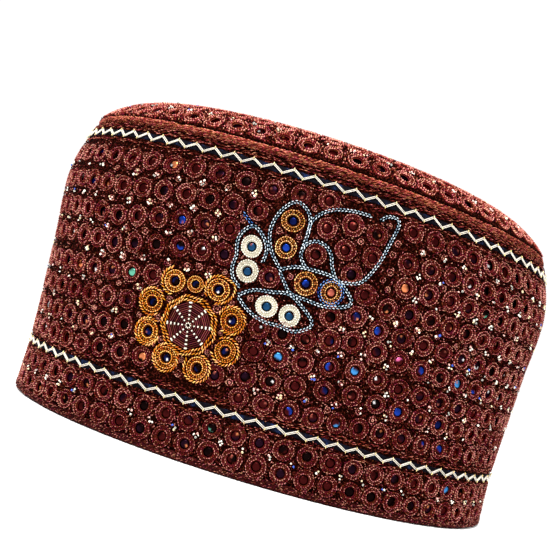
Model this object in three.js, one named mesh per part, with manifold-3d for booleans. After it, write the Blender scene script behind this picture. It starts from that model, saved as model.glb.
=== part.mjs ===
// Soft brimless cap with an upright wall and a flat, gently domed crown.
// The cloth is covered in stitched rings, with a zigzag line below the crown and
// above the hem, and a flower and a butterfly worked on the front.
// Millimetres, +Z up, front towards -Y, standing on its rim.

import * as THREE from "three";
import { mergeVertices } from "three/addons/utils/BufferGeometryUtils.js";
import Module from "manifold-3d";

// Oval plan of the standing cap at the middle of the wall, and how it settles.
const HALF_WIDTH = 97.4;
const HALF_DEPTH = 69.4;
const LOWER_ZIGZAG = 19.6; // heights of the two zigzag lines
const UPPER_ZIGZAG = 100.3;
const SETTLE_HEIGHT = UPPER_ZIGZAG; // height at which lean and sideways drift are given
const LEAN = -0.015; // rise per millimetre to the right
const DRIFT = -1.35; // sideways drift of the top

// Cloth and clearance.
const CLOTH = 2.6; // padded, stitched cloth
const GAP = 0.3; // clearance between neighbouring pieces
const SEGMENTS = 72; // facets round the cap
const GIRTH_STEPS = 2880; // steps in which the length round the wall is measured
const SAME_POINT = 1e-4; // vertices closer than this are one

// Outer face of the wall, a row for each height.
const WALL = [
  { place: "rim", height: 0, halfWidth: 96.0 },
  { place: "lower zigzag", height: LOWER_ZIGZAG, halfWidth: 95.6 },
  { place: "middle", height: 60, halfWidth: HALF_WIDTH },
  { place: "fullest", height: 86.3, halfWidth: 98.8 },
  { place: "upper zigzag", height: UPPER_ZIGZAG, halfWidth: 95.6 },
  { place: "crown seam", height: 108, halfWidth: 92.9 },
];
const WALL_OUTER_STEPS = [LOWER_ZIGZAG, 40, 60, 74, 86.3, 94, UPPER_ZIGZAG];
const WALL_INNER_STEPS = [94, 80, 60, 30];

// Hem, a flat-bottomed roll of thread on the rim.
const HEM_HEIGHT = 2.9;
const HEM_BULGE = 0.7;
const HEM_CORNER = 0.8;

// Piping in the crown seam.
const PIPING_RADIUS = 1.7;
const PIPING_SIDES = 7;
const WALL_TOP = 104;
const PIPING_HEIGHT = WALL_TOP + GAP + PIPING_RADIUS;
const PIPING_HALF_WIDTH = 92.3;

// Crown, a flat dome with a steep shoulder.
const CROWN_EDGE = PIPING_HEIGHT + PIPING_RADIUS + GAP;
const CROWN_RISE = 12.3;
const CROWN_FLATNESS = 8;
const CROWN_HALF_WIDTH = 92.9;
const CROWN_OUTER_SHARES = [0.98, 0.95, 0.9, 0.82, 0.68, 0.4];
const CROWN_INNER_SHARES = [0.4, 0.75, 0.88];

// Zigzag threads, a row for each line.
const ZIGZAGS = [
  { name: "lower_zigzag", height: LOWER_ZIGZAG, teeth: 75, swing: 1.8 },
  { name: "upper_zigzag", height: UPPER_ZIGZAG, teeth: 74, swing: 2.1 },
];
const ZIGZAG_THREAD = 0.9;

// Stitched rings: outer and inner radius, and the raised top.
const RING_RISE = 1.1;
const RING_SIDES = 12;
const RING_HOLE = 1.6;

// Flower: a woven wheel in a corded rim, ringed by petals.
// Places on the wall are distances along it from the front centre, to the right, and heights.
const FLOWER = { along: -30.1, height: 43.0 };
const WHEEL_RADIUS = 7.4;
const WHEEL_SPOKES = 8;
const WHEEL_RISE = 0.7;
const SPOKE_RISE = 0.4;
const WHEEL_SHOULDER = 0.9; // share of the radius and rise at the wheel's rounded edge
const RIM_INNER = 7.8;
const RIM_OUTER = 8.8;
const RIM_SIDES = 24;
const PETALS = [
  { along: -38.8, height: 55.6, radius: 3.95 },
  { along: -31.4, height: 56.5, radius: 3.0 },
  { along: -23.4, height: 56.9, radius: 3.95 },
  { along: -16.6, height: 48.7, radius: 3.95 },
  { along: -15.9, height: 38.6, radius: 3.95 },
  { along: -23.6, height: 30.6, radius: 3.95 },
  { along: -35.0, height: 30.8, radius: 3.95 },
  { along: -43.8, height: 37.2, radius: 3.95 },
  { along: -45.0, height: 47.0, radius: 3.95 },
];

// Butterfly: rings in two colours inside corded outlines.
const BUTTERFLY_RING = 3.4;
const WHITE_RINGS = [
  { along: -16.6, height: 73.3 },
  { along: -15.9, height: 65.4 },
  { along: -6.9, height: 56.4 },
  { along: 1.0, height: 55.7 },
];
const TAN_RINGS = [
  { along: -6.2, height: 85.0 },
  { along: -6.0, height: 76.2 },
  { along: 3.2, height: 67.1 },
  { along: 11.7, height: 66.8 },
];
const OUTLINE_WIDTH = 1.2;
const OUTLINE_RISE = 1.0;
const OUTLINE_STEP = 2.2; // length of one facet along an outline

// Outlines as points along the wall and up it; each line is smooth between its points.
const BODY_OUTLINE = [
  [[-11.9, 69.2], [-11.6, 73.5], [-13.6, 77.2], [-17.7, 79.7], [-21.0, 76.2], [-21.3, 72.6],
    [-20.6, 69.4], [-21.0, 65.6], [-19.8, 62.0], [-16.9, 59.9]],
];
const WING_OUTLINES = {
  left_wing: [[-0.9, 77.0], [-0.6, 84.4], [-1.8, 88.6], [-6.4, 91.4], [-10.4, 87.4], [-12.2, 80.0],
    [-10.0, 73.6], [-5.6, 68.8]],
  right_wing_top: [[-0.7, 82.4], [-0.3, 87.0], [3.9, 91.7], [11.0, 94.0], [17.5, 94.4]],
  right_wing_edge: [[20.7, 93.9], [23.2, 96.2], [27.0, 96.1], [25.4, 87.5], [23.3, 79.5],
    [19.6, 72.6], [14.0, 70.8]],
  small_loop: [[1.8, 71.7], [-0.8, 75.0], [-0.4, 78.6], [2.1, 80.8], [5.6, 80.6], [8.3, 78.2],
    [9.4, 75.2], [11.8, 71.2]],
  right_leaf: [[-6.0, 68.9], [-1.4, 71.2], [5.0, 71.9], [12.2, 71.3], [19.0, 65.4], [12.2, 62.1],
    [5.0, 62.1], [-1.0, 62.8], [-3.6, 65.6], [-5.9, 68.3]],
  left_leaf: [[-16.8, 57.2], [-12.4, 60.2], [-6.5, 61.3], [-1.2, 62.3], [2.8, 60.5], [8.8, 55.1],
    [3.6, 51.2], [-1.2, 51.6], [-6.8, 51.5], [-12.6, 53.6], [-16.6, 56.7]],
};

// Colours, and how rough the threads and the cloth are.
const MATT = 0.8;
const SILKY = 0.6;
const GLOSSY = 0.5;
const COLOURS = {
  cloth: 0x5a2420,
  piping: 0x8a4630,
  hem: 0x5a2420,
  ivory: 0xf0e8d6,
  gold: 0xcf8c2a,
  wheel: 0x5e231f,
  white: 0xf6efdc,
  tan: 0xd2a260,
  blue: 0x96b8c8,
};

const wasm = await Module();
wasm.setup();

const OVAL = HALF_WIDTH - HALF_DEPTH;
const FULLEST = WALL.find((row) => row.place === "fullest").height;
const wallLine = new THREE.CubicInterpolant(
  WALL.map((row) => row.height),
  WALL.map((row) => row.halfWidth),
  1,
);
const girthLine = new THREE.EllipseCurve(0, 0, HALF_WIDTH, HALF_DEPTH, -Math.PI / 2, 1.5 * Math.PI);
girthLine.arcLengthDivisions = GIRTH_STEPS;
const GIRTH = girthLine.getLength();

// Half width of the wall's outer face at a height.
function wallHalfWidth(height) {
  return wallLine.evaluate(height)[0];
}

// Turn from the front for a distance along the wall.
function turnAt(along) {
  const share = (((along / GIRTH) % 1) + 1) % 1;
  return 2 * Math.PI * girthLine.getUtoTmapping(share);
}

// The standing cap leans and drifts a little to one side, more towards its top.
function settled(x, y, z) {
  const share = z / SETTLE_HEIGHT;
  const drift = (DRIFT * (z - FULLEST)) / SETTLE_HEIGHT;
  return [x + drift, y, z + share * LEAN * x];
}

// Point on the wall's outer face, lifted outwards.
function onWall(along, height, lift) {
  const turn = turnAt(along);
  const halfWidth = wallHalfWidth(height);
  const halfDepth = halfWidth - OVAL;
  const out = new THREE.Vector2(Math.sin(turn) / halfWidth, -Math.cos(turn) / halfDepth).normalize();
  const x = halfWidth * Math.sin(turn) + lift * out.x;
  const y = -halfDepth * Math.cos(turn) + lift * out.y;
  return settled(x, y, height);
}

// Moves every vertex of a geometry by a function of its place.
function reshaped(geometry, place) {
  const points = geometry.getAttribute("position");
  for (let i = 0; i < points.count; i += 1) {
    points.setXYZ(i, ...place(points.getX(i), points.getY(i), points.getZ(i)));
  }
  return geometry;
}

// Lays a flat geometry, drawn in X and Y with Z outwards, on the wall round a place.
function laidOnWall(geometry, along, height) {
  return reshaped(geometry, (x, y, z) => onWall(along + x, height + y, GAP + z));
}

// Turns a section of [half width, height] points round the oval.
function roundOval(section, depthOf) {
  const points = section.map(([x, y]) => new THREE.Vector2(x, y));
  const geometry = new THREE.LatheGeometry(points, SEGMENTS);
  return reshaped(geometry, (x, y, z) => {
    const halfWidth = Math.hypot(x, z);
    const squeeze = halfWidth > 0 ? depthOf(halfWidth) / halfWidth : 0;
    return settled(x, -z * squeeze, y);
  });
}

// Depth of a ring of the wall, hem or piping: the oval keeps its thickness all round.
function wallDepth(halfWidth) {
  return halfWidth - OVAL;
}

// Depth of a ring of the crown, in proportion to its edge.
function crownDepth(halfWidth) {
  return (halfWidth * (CROWN_HALF_WIDTH - OVAL)) / CROWN_HALF_WIDTH;
}

// Height of the crown's outer face at a half width.
function crownHeight(halfWidth) {
  return CROWN_EDGE + CROWN_RISE * (1 - (halfWidth / CROWN_HALF_WIDTH) ** CROWN_FLATNESS);
}

function sideWall() {
  const bottom = HEM_HEIGHT + GAP;
  const outer = [bottom, ...WALL_OUTER_STEPS, WALL_TOP].map((z) => [wallHalfWidth(z), z]);
  const inner = [WALL_TOP, ...WALL_INNER_STEPS, bottom].map((z) => [wallHalfWidth(z) - CLOTH, z]);
  return roundOval([...outer, ...inner, outer[0]], wallDepth);
}

function hemBinding() {
  const outer = wallHalfWidth(0) + HEM_BULGE;
  const inner = wallHalfWidth(0) - CLOTH;
  const section = [
    [inner, 0],
    [outer - HEM_CORNER, 0],
    [outer, HEM_CORNER],
    [outer, HEM_HEIGHT - HEM_CORNER],
    [outer - HEM_CORNER, HEM_HEIGHT],
    [inner, HEM_HEIGHT],
    [inner, 0],
  ];
  return roundOval(section, wallDepth);
}

function crownPiping() {
  const section = [];
  for (let i = 0; i <= PIPING_SIDES; i += 1) {
    const angle = (2 * Math.PI * (i % PIPING_SIDES)) / PIPING_SIDES;
    section.push([
      PIPING_HALF_WIDTH + PIPING_RADIUS * Math.cos(angle),
      PIPING_HEIGHT + PIPING_RADIUS * Math.sin(angle),
    ]);
  }
  return roundOval(section, wallDepth);
}

function crown() {
  const edge = CROWN_HALF_WIDTH;
  const face = (shares, drop) => shares.map((share) => [share * edge, crownHeight(share * edge) - drop]);
  const inner = face([0, ...CROWN_INNER_SHARES], CLOTH);
  const outer = face([...CROWN_OUTER_SHARES, 0], 0);
  return roundOval([...inner, [edge - CLOTH, CROWN_EDGE], [edge, CROWN_EDGE], ...outer], crownDepth);
}

// A flat strip with a zigzag outline, bent round the wall until its ends meet at the back.
function zigzag({ height, teeth, swing }) {
  const pitch = (GIRTH - GAP) / teeth;
  const corners = [];
  for (let i = 0; i <= 2 * teeth; i += 1) {
    corners.push([(i - teeth) * (pitch / 2), i % 2 === 0 ? -swing / 2 : swing / 2]);
  }
  const half = ZIGZAG_THREAD / 2;
  const lower = corners.map(([x, y]) => new THREE.Vector2(x, y - half));
  const upper = corners.map(([x, y]) => new THREE.Vector2(x, y + half)).reverse();
  const shape = new THREE.Shape([...lower, ...upper]);
  const geometry = new THREE.ExtrudeGeometry(shape, { depth: ZIGZAG_THREAD, bevelEnabled: false });
  return laidOnWall(geometry, 0, height);
}

// A ring of thread with a rounded top, flat underneath.
function threadRing(inner, outer, sides) {
  const crest = (outer - inner) / 4;
  const shoulder = RING_RISE / 2;
  const section = [
    [inner, 0],
    [outer, 0],
    [outer, shoulder],
    [outer - crest, RING_RISE],
    [inner + crest, RING_RISE],
    [inner, shoulder],
    [inner, 0],
  ].map(([x, y]) => new THREE.Vector2(x, y));
  return new THREE.LatheGeometry(section, sides).rotateX(Math.PI / 2);
}

function stitchedRing({ along, height, radius }) {
  return laidOnWall(threadRing(RING_HOLE, radius, RING_SIDES), along, height);
}

// The woven wheel is a low disc whose spokes stand above the web between them.
function flowerWheel() {
  const section = [
    [0, 0],
    [WHEEL_RADIUS, 0],
    [WHEEL_RADIUS, WHEEL_RISE / 2],
    [WHEEL_RADIUS * WHEEL_SHOULDER, WHEEL_RISE],
    [0, WHEEL_RISE + SPOKE_RISE],
  ].map(([x, y]) => new THREE.Vector2(x, y));
  const wheel = new THREE.LatheGeometry(section, 2 * WHEEL_SPOKES).rotateX(Math.PI / 2);
  const step = Math.PI / WHEEL_SPOKES;
  const ribbed = reshaped(wheel, (x, y, z) => {
    const onSpoke = Math.round(Math.atan2(y, x) / step) % 2 === 0;
    const onTop = z > WHEEL_SHOULDER * WHEEL_RISE && Math.hypot(x, y) > 0;
    return [x, y, onSpoke && onTop ? z + SPOKE_RISE : z];
  });
  return laidOnWall(ribbed, FLOWER.along, FLOWER.height);
}

function flowerRim() {
  return laidOnWall(threadRing(RIM_INNER, RIM_OUTER, RIM_SIDES), FLOWER.along, FLOWER.height);
}

// A cord lying flat along a smooth line through points.
function flatCord(points) {
  const line = new THREE.CatmullRomCurve3(points.map(([x, y]) => new THREE.Vector3(x, y, 0)));
  const half = OUTLINE_WIDTH / 2;
  const section = new THREE.Shape([
    new THREE.Vector2(0, -half),
    new THREE.Vector2(0, half),
    new THREE.Vector2(-OUTLINE_RISE, half / 2),
    new THREE.Vector2(-OUTLINE_RISE, -half / 2),
  ]);
  const steps = Math.round(line.getLength() / OUTLINE_STEP);
  return new THREE.ExtrudeGeometry(section, { steps, extrudePath: line, bevelEnabled: false });
}

function solidOf(geometry) {
  geometry.deleteAttribute("normal");
  geometry.deleteAttribute("uv");
  const merged = mergeVertices(geometry, SAME_POINT);
  return new wasm.Manifold(new wasm.Mesh({
    numProp: 3,
    vertProperties: Float32Array.from(merged.getAttribute("position").array),
    triVerts: Uint32Array.from(merged.index.array),
  }));
}

// Corded lines that cross are worked as one piece.
function corded(lines) {
  const cords = lines.map((points) => solidOf(flatCord(points)));
  const mesh = cords.reduce((all, cord) => all.add(cord)).getMesh();
  const places = new THREE.BufferAttribute(Float32Array.from(mesh.vertProperties), 3);
  const triangles = new THREE.BufferAttribute(Uint32Array.from(mesh.triVerts), 1);
  const geometry = new THREE.BufferGeometry();
  geometry.setAttribute("position", places);
  geometry.setIndex(triangles);
  return laidOnWall(geometry, 0, 0);
}

const cap = new THREE.Group();

function addPiece(name, geometry, colour, roughness = MATT) {
  const material = new THREE.MeshStandardMaterial({ color: colour, roughness, metalness: 0 });
  const mesh = new THREE.Mesh(geometry, material);
  mesh.name = name;
  cap.add(mesh);
}

addPiece("side_wall", sideWall(), COLOURS.cloth);
addPiece("crown", crown(), COLOURS.cloth);
addPiece("crown_piping", crownPiping(), COLOURS.piping, SILKY);
addPiece("hem_binding", hemBinding(), COLOURS.hem);
ZIGZAGS.forEach((row) => addPiece(row.name, zigzag(row), COLOURS.ivory));
addPiece("flower_wheel", flowerWheel(), COLOURS.wheel);
addPiece("flower_rim", flowerRim(), COLOURS.gold, GLOSSY);
PETALS.forEach((row, i) => {
  addPiece(`flower_petal_${i + 1}`, stitchedRing(row), COLOURS.gold, GLOSSY);
});
addPiece("butterfly_body_outline", corded(BODY_OUTLINE), COLOURS.blue, SILKY);
addPiece("butterfly_wing_outline", corded(Object.values(WING_OUTLINES)), COLOURS.blue, SILKY);
WHITE_RINGS.forEach((row, i) => {
  const ring = stitchedRing({ ...row, radius: BUTTERFLY_RING });
  addPiece(`butterfly_white_ring_${i + 1}`, ring, COLOURS.white);
});
TAN_RINGS.forEach((row, i) => {
  const ring = stitchedRing({ ...row, radius: BUTTERFLY_RING });
  addPiece(`butterfly_tan_ring_${i + 1}`, ring, COLOURS.tan, GLOSSY);
});

export default cap;
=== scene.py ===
"""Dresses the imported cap: cloth, stitched rings, sequins, seed beads, threads, flower and butterfly.

Sizes are millimetres until a mesh is made, +Z is up and the front faces -Y. A place on the wall is
(along, height): the distance along the wall from the front centre, to the right, and the height.
A flat place is (right, up, out) from such a place, before it is laid on the wall or the crown.
For a stitch, half or strand is half its width, rise is how high it stands and seat the height that it
lies on. A seed starts the random draws of a sub-assembly.
"""

import logging
import math
from dataclasses import dataclass, field, replace
from enum import Enum
from functools import cached_property

import bpy
import numpy as np
from mathutils import Matrix, Vector


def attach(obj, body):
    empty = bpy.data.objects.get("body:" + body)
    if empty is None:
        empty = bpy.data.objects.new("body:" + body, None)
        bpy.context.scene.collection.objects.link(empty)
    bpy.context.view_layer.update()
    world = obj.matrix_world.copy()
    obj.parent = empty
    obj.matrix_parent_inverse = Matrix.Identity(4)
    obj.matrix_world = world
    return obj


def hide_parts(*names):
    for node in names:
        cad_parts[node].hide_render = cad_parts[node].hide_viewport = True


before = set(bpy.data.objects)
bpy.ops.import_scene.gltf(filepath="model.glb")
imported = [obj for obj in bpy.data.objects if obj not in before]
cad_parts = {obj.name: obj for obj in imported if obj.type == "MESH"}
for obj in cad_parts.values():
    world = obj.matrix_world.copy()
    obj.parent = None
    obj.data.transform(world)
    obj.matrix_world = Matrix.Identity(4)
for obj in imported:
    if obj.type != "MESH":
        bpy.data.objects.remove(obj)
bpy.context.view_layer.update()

Array = np.ndarray
Draws = np.random.Generator
Place = tuple[float, float]
Point = tuple[float, float, float]
Line = tuple[Place, ...]
Colour = tuple[int, int, int]
Shares = tuple[float, ...]  # where along a stitch its sections lie
Worked = tuple[Array, Array]  # flat places (..., k, 3) and tones (..., k) of stitches, k to a stitch
Socket = bpy.types.NodeSocket

MM = 0.001
FULL_TURN = 2 * math.pi
BODY = "root"
TONE = "tone"
TINT = "tint"
CLOTH_PLACE = "cloth_place"
LAYERS = {TONE: ("FLOAT", "value"), TINT: ("FLOAT_COLOR", "color"), CLOTH_PLACE: ("FLOAT2", "vector")}

log = logging.getLogger("cap")


def linear(colour: Colour) -> tuple[float, float, float, float]:
    """The linear colour, with an alpha of 1, of a screen colour that goes from 0 to 255."""
    shares = np.array(colour) / 255
    return (*np.where(shares <= 0.04045, shares / 12.92, ((shares + 0.055) / 1.055) ** 2.4).tolist(), 1.0)


class ShaderNodes:
    """A new material with a Principled shader, and short calls to wire it."""

    def __init__(self, name: str) -> None:
        """Starts the material.

        Args:
            name: the material's name.
        """
        self.material = bpy.data.materials.new(name)
        self.material.use_nodes = True
        self.tree = self.material.node_tree
        self.shader = self.tree.nodes["Principled BSDF"]

    def add(self, kind: str, **settings: object) -> bpy.types.Node:
        """Adds a node and sets its properties.

        Args:
            kind: the node's type name.
            settings: properties of the node.

        Returns:
            The new node.
        """
        node = self.tree.nodes.new(kind)
        for key, value in settings.items():
            setattr(node, key, value)
        return node

    def link(self, source: Socket, target: Socket) -> None:
        """Joins two sockets."""
        self.tree.links.new(source, target)

    def colour(self, source: Socket) -> None:
        """Gives the shader its colour."""
        self.link(source, self.shader.inputs["Base Color"])

    def set(self, **values: object) -> None:
        """Sets constants on the shader's own sockets, an underscore standing for a space in their names."""
        for key, value in values.items():
            self.shader.inputs[key.replace("_", " ")].default_value = value

    def attribute(self, name: str) -> bpy.types.Node:
        """Adds a node that reads a mesh attribute."""
        return self.add("ShaderNodeAttribute", attribute_name=name)

    def maths(self, operation: str, *values: Socket | float) -> Socket:
        """Adds a Math node.

        Args:
            operation: what the node works out.
            values: the sockets or numbers that it takes.

        Returns:
            The node's result.
        """
        node = self.add("ShaderNodeMath", operation=operation)
        for slot, value in zip(node.inputs, values):
            if isinstance(value, Socket):
                self.link(value, slot)
            else:
                slot.default_value = value
        return node.outputs[0]

    def noise(self, scale: float, detail: float = 2.0) -> Socket:
        """Adds a noise in the object's own space.

        Args:
            scale: patches to the metre.
            detail: octaves of finer noise.

        Returns:
            The noise, from 0 to 1.
        """
        place = self.add("ShaderNodeTexCoord")
        texture = self.add("ShaderNodeTexNoise")
        texture.inputs["Scale"].default_value = scale
        texture.inputs["Detail"].default_value = detail
        self.link(place.outputs["Object"], texture.inputs["Vector"])
        return texture.outputs["Fac"]

    def yarns(self, pitch: float) -> tuple[Socket, Socket]:
        """Adds waves along the cloth and up it.

        Args:
            pitch: distance from crest to crest, in millimetres.

        Returns:
            The two waves, from -1 to 1.
        """
        place = self.add("ShaderNodeSeparateXYZ")
        self.link(self.attribute(CLOTH_PLACE).outputs["Vector"], place.inputs[0])
        turns = [self.maths("MULTIPLY", place.outputs[axis], FULL_TURN / pitch) for axis in range(2)]
        return self.maths("SINE", turns[0]), self.maths("SINE", turns[1])

    def ramp(self, value: Socket, stops: list[tuple[float, Colour]]) -> Socket:
        """Adds a colour ramp.

        Args:
            value: what picks the colour.
            stops: places on the ramp and their screen colours.

        Returns:
            The picked colour.
        """
        node = self.add("ShaderNodeValToRGB")
        elements = node.color_ramp.elements
        while len(elements) < len(stops):
            elements.new(0.5)
        for element, (position, colour) in zip(elements, stops):
            element.position = position
            element.color = linear(colour)
        self.link(value, node.inputs["Fac"])
        return node.outputs["Color"]

    def bump(self, height: Socket, strength: float, distance: float) -> None:
        """Gives the shader a bump.

        Args:
            height: the relief.
            strength: how much of it shows.
            distance: its depth in millimetres.
        """
        node = self.add("ShaderNodeBump")
        node.inputs["Strength"].default_value = strength
        node.inputs["Distance"].default_value = distance * MM
        self.link(height, node.inputs["Height"])
        self.link(node.outputs["Normal"], self.shader.inputs["Normal"])

    def roughness(self, value: Socket, low: float, high: float) -> None:
        """Gives the shader a roughness that goes from low to high as a value goes from 0 to 1."""
        spread = self.maths("MULTIPLY_ADD", value, high - low, low)
        self.link(spread, self.shader.inputs["Roughness"])


@dataclass(frozen=True)
class ThreadFinish:
    """Twisted embroidery thread, with painted shade where stitches sink and a painted highlight on their
    crests.
    """

    name: str
    slot: str
    deep: Colour  # painted shade, down between stitches
    body: Colour
    crest: Colour  # painted highlight, on top of a stitch
    smooth: float = 0.38  # lowest roughness
    coarse: float = 0.7  # highest roughness
    gloss: float = 0.025  # how strongly it mirrors its surroundings
    fade: float = 0.26  # how far the tone drifts in patches
    dye: float = 0.15  # how far the hue drifts from stitch to stitch
    patch_scale: float = 70.0  # patches, stitches and fibres to the metre
    dye_scale: float = 1200.0
    fibre_scale: float = 5200.0

    def material(self) -> bpy.types.Material:
        """Builds the thread: tone ramp, faded patches, uneven dye and a fibre bump.

        Returns:
            The material.
        """
        nodes = ShaderNodes(self.name)
        shade = nodes.attribute(TONE).outputs["Fac"]
        fibres = nodes.noise(self.fibre_scale, 3.0)
        for specks in (nodes.noise(self.patch_scale), fibres):
            drift = nodes.maths("MULTIPLY_ADD", specks, self.fade, -self.fade / 2)
            shade = nodes.maths("ADD", shade, drift)
        colour = nodes.ramp(shade, [(0.0, self.deep), (0.5, self.body), (1.0, self.crest)])
        dyed = nodes.add("ShaderNodeHueSaturation")
        nodes.link(colour, dyed.inputs["Color"])
        hue = nodes.maths("MULTIPLY_ADD", nodes.noise(self.dye_scale), self.dye, 0.5 - self.dye / 2)
        nodes.link(hue, dyed.inputs["Hue"])
        nodes.colour(dyed.outputs[0])
        nodes.roughness(fibres, self.smooth, self.coarse)
        nodes.bump(fibres, strength=0.35, distance=0.12)
        nodes.set(Specular_IOR_Level=self.gloss)
        return nodes.material


@dataclass(frozen=True)
class ClothFinish:
    """Plain woven ground cloth: dark on its face under the stitching, partly its own colour and partly
    painted shade between the rings, and lighter on its bare reverse.
    """

    name: str
    slot: str
    valley: Colour  # deep between the threads
    yarn: Colour  # the cloth and the threads sunk in it
    fleck: Colour  # threads that come up
    reverse: Colour  # yarns on the inside
    pitch: float = 0.6  # spacing of the yarns
    patch_scale: float = 60.0  # patches and tangled threads to the metre
    tangle_scale: float = 1500.0

    def material(self) -> bpy.types.Material:
        """Builds the weave from the places across the cloth.

        Returns:
            The material.
        """
        nodes = ShaderNodes(self.name)
        across, upward = nodes.yarns(self.pitch)
        weave = nodes.maths("MULTIPLY_ADD", nodes.maths("MULTIPLY", across, upward), 0.5, 0.5)
        patches = nodes.noise(self.patch_scale, 3.0)
        yarns = nodes.maths("MULTIPLY_ADD", patches, 0.5, nodes.maths("MULTIPLY", weave, 0.6))
        tangle = nodes.noise(self.tangle_scale, 4.0)
        outer = nodes.ramp(tangle, [(0.42, self.valley), (0.55, self.yarn), (0.7, self.fleck)])
        inner = nodes.ramp(yarns, [(0.2, self.yarn), (0.9, self.reverse)])
        both = nodes.add("ShaderNodeMix", data_type="RGBA")
        nodes.link(nodes.attribute(TONE).outputs["Fac"], both.inputs["Factor"])
        nodes.link(outer, both.inputs[6])
        nodes.link(inner, both.inputs[7])
        nodes.colour(both.outputs[2])
        nodes.roughness(patches, 0.75, 0.95)
        nodes.bump(nodes.maths("MULTIPLY_ADD", weave, 0.3, tangle), strength=0.8, distance=0.5)
        nodes.set(Specular_IOR_Level=0.01)
        return nodes.material


@dataclass(frozen=True)
class RibbonFinish:
    """Dark satin ribbon with fine cross ribs."""

    name: str
    slot: str
    dark: Colour  # in the grooves
    light: Colour  # on the ribs
    glint: Colour  # where the satin catches the light
    pitch: float = 0.5  # spacing of the ribs
    patch_scale: float = 420.0

    def material(self) -> bpy.types.Material:
        """Builds the ribs from the places along the ribbon.

        Returns:
            The material.
        """
        nodes = ShaderNodes(self.name)
        ribs, _ = nodes.yarns(self.pitch)
        patches = nodes.noise(self.patch_scale)
        shade = nodes.maths("MULTIPLY_ADD", ribs, 0.08, patches)
        nodes.colour(nodes.ramp(shade, [(0.3, self.dark), (0.62, self.light), (0.8, self.glint)]))
        nodes.roughness(patches, 0.5, 0.8)
        nodes.bump(ribs, strength=0.3, distance=0.1)
        nodes.set(Specular_IOR_Level=0.03)
        return nodes.material


@dataclass(frozen=True)
class GlossFinish:
    """Glossy sequins and beads, each tinted by itself."""

    name: str
    slot: str
    metallic: float
    smooth: float  # lowest roughness
    coarse: float  # highest roughness
    coat: float = 0.0  # clear coat over the tint
    edge: float = 1.0  # strength of the reflection at a glancing view
    cloud_scale: float = 900.0  # clouds to the metre

    def material(self) -> bpy.types.Material:
        """Builds the tint with small clouds in it.

        Returns:
            The material.
        """
        nodes = ShaderNodes(self.name)
        clouds = nodes.noise(self.cloud_scale)
        cloudy = nodes.add("ShaderNodeHueSaturation")
        nodes.link(nodes.attribute(TINT).outputs["Color"], cloudy.inputs["Color"])
        nodes.link(nodes.maths("MULTIPLY_ADD", clouds, 0.5, 0.75), cloudy.inputs["Value"])
        nodes.colour(cloudy.outputs[0])
        nodes.roughness(clouds, self.smooth, self.coarse)
        nodes.set(Metallic=self.metallic, Coat_Weight=self.coat, Coat_Roughness=0.08)
        nodes.set(Specular_Tint=(self.edge, self.edge, self.edge, 1.0))
        return nodes.material


@dataclass(frozen=True)
class FloorFinish:
    """Matt white studio floor."""

    name: str = "studio_floor"
    light: Colour = (254, 254, 253)
    shade: Colour = (250, 250, 249)

    def material(self) -> bpy.types.Material:
        """Builds the floor with the faintest clouds.

        Returns:
            The material.
        """
        nodes = ShaderNodes(self.name)
        nodes.colour(nodes.ramp(nodes.noise(3.0), [(0.3, self.shade), (0.7, self.light)]))
        nodes.set(Roughness=0.9)
        return nodes.material


Finish = ThreadFinish | ClothFinish | RibbonFinish | GlossFinish

# Its face colours are dark: partly the cloth's own colour, partly painted shade between the rings.
GROUND = ClothFinish("ground_cloth", "maroon_cloth", (10, 1, 0), (22, 3, 1), (90, 32, 24), (104, 44, 38))
MAROON = ThreadFinish("maroon_thread", "maroon_thread", (42, 4, 2), (106, 26, 23), (202, 136, 121))
# The wall's maroon thread again, lighter all over: painted light, as the crown faces up to the light.
LIT_CROWN = ThreadFinish("crown_thread_lit", "maroon_thread", (46, 5, 3), (132, 41, 33), (226, 153, 134))
FILLING = ThreadFinish("filling_thread", "maroon_thread", (28, 3, 1), (87, 21, 16), (204, 138, 121))
ROPE = ThreadFinish("rope_thread", "maroon_thread", (34, 5, 4), (126, 43, 35), (222, 146, 122))
PIPING = ThreadFinish("piping_thread", "piping_thread", (36, 6, 4), (156, 62, 46), (236, 158, 128))
HEM = ThreadFinish("hem_thread", "hem_thread", (34, 5, 5), (94, 25, 24), (196, 130, 112))
IVORY = ThreadFinish("ivory_thread", "ivory_thread", (112, 100, 88), (208, 200, 184), (238, 233, 222))
COUCHING = ThreadFinish("couching_thread", "gold_thread", (130, 100, 50), (226, 204, 140), (250, 240, 200))
WHEEL = ThreadFinish("wheel_thread", "wheel_thread", (26, 3, 3), (68, 20, 22), (130, 58, 56))
WHITE = ThreadFinish("white_thread", "white_thread", (92, 82, 58), (206, 199, 180), (240, 236, 225))
GOLD = ThreadFinish(
    "gold_thread", "gold_thread", (56, 14, 4), (204, 118, 24), (252, 210, 132), smooth=0.28, coarse=0.55,
)
TAN = ThreadFinish(
    "tan_thread", "tan_thread", (44, 15, 4), (184, 110, 42), (255, 222, 160), smooth=0.28, coarse=0.55,
)
BLUE = ThreadFinish(
    "blue_thread", "blue_thread", (5, 6, 10), (128, 156, 174), (238, 243, 246), smooth=0.3, coarse=0.6,
)
DEEP_BLUE = ThreadFinish(
    "deep_blue_thread", "blue_thread", (4, 6, 16), (44, 84, 160), (128, 168, 216), smooth=0.3, coarse=0.6,
)
RIBBON = RibbonFinish("zigzag_ribbon", "ribbon", (3, 2, 4), (11, 10, 19), (24, 44, 84))
SEQUIN = GlossFinish("sequins", "sequin", metallic=1.0, smooth=0.16, coarse=0.34, edge=0.35)
BEAD = GlossFinish("seed_beads", "seed_bead", metallic=0.0, smooth=0.15, coarse=0.35, coat=0.3)

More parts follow.
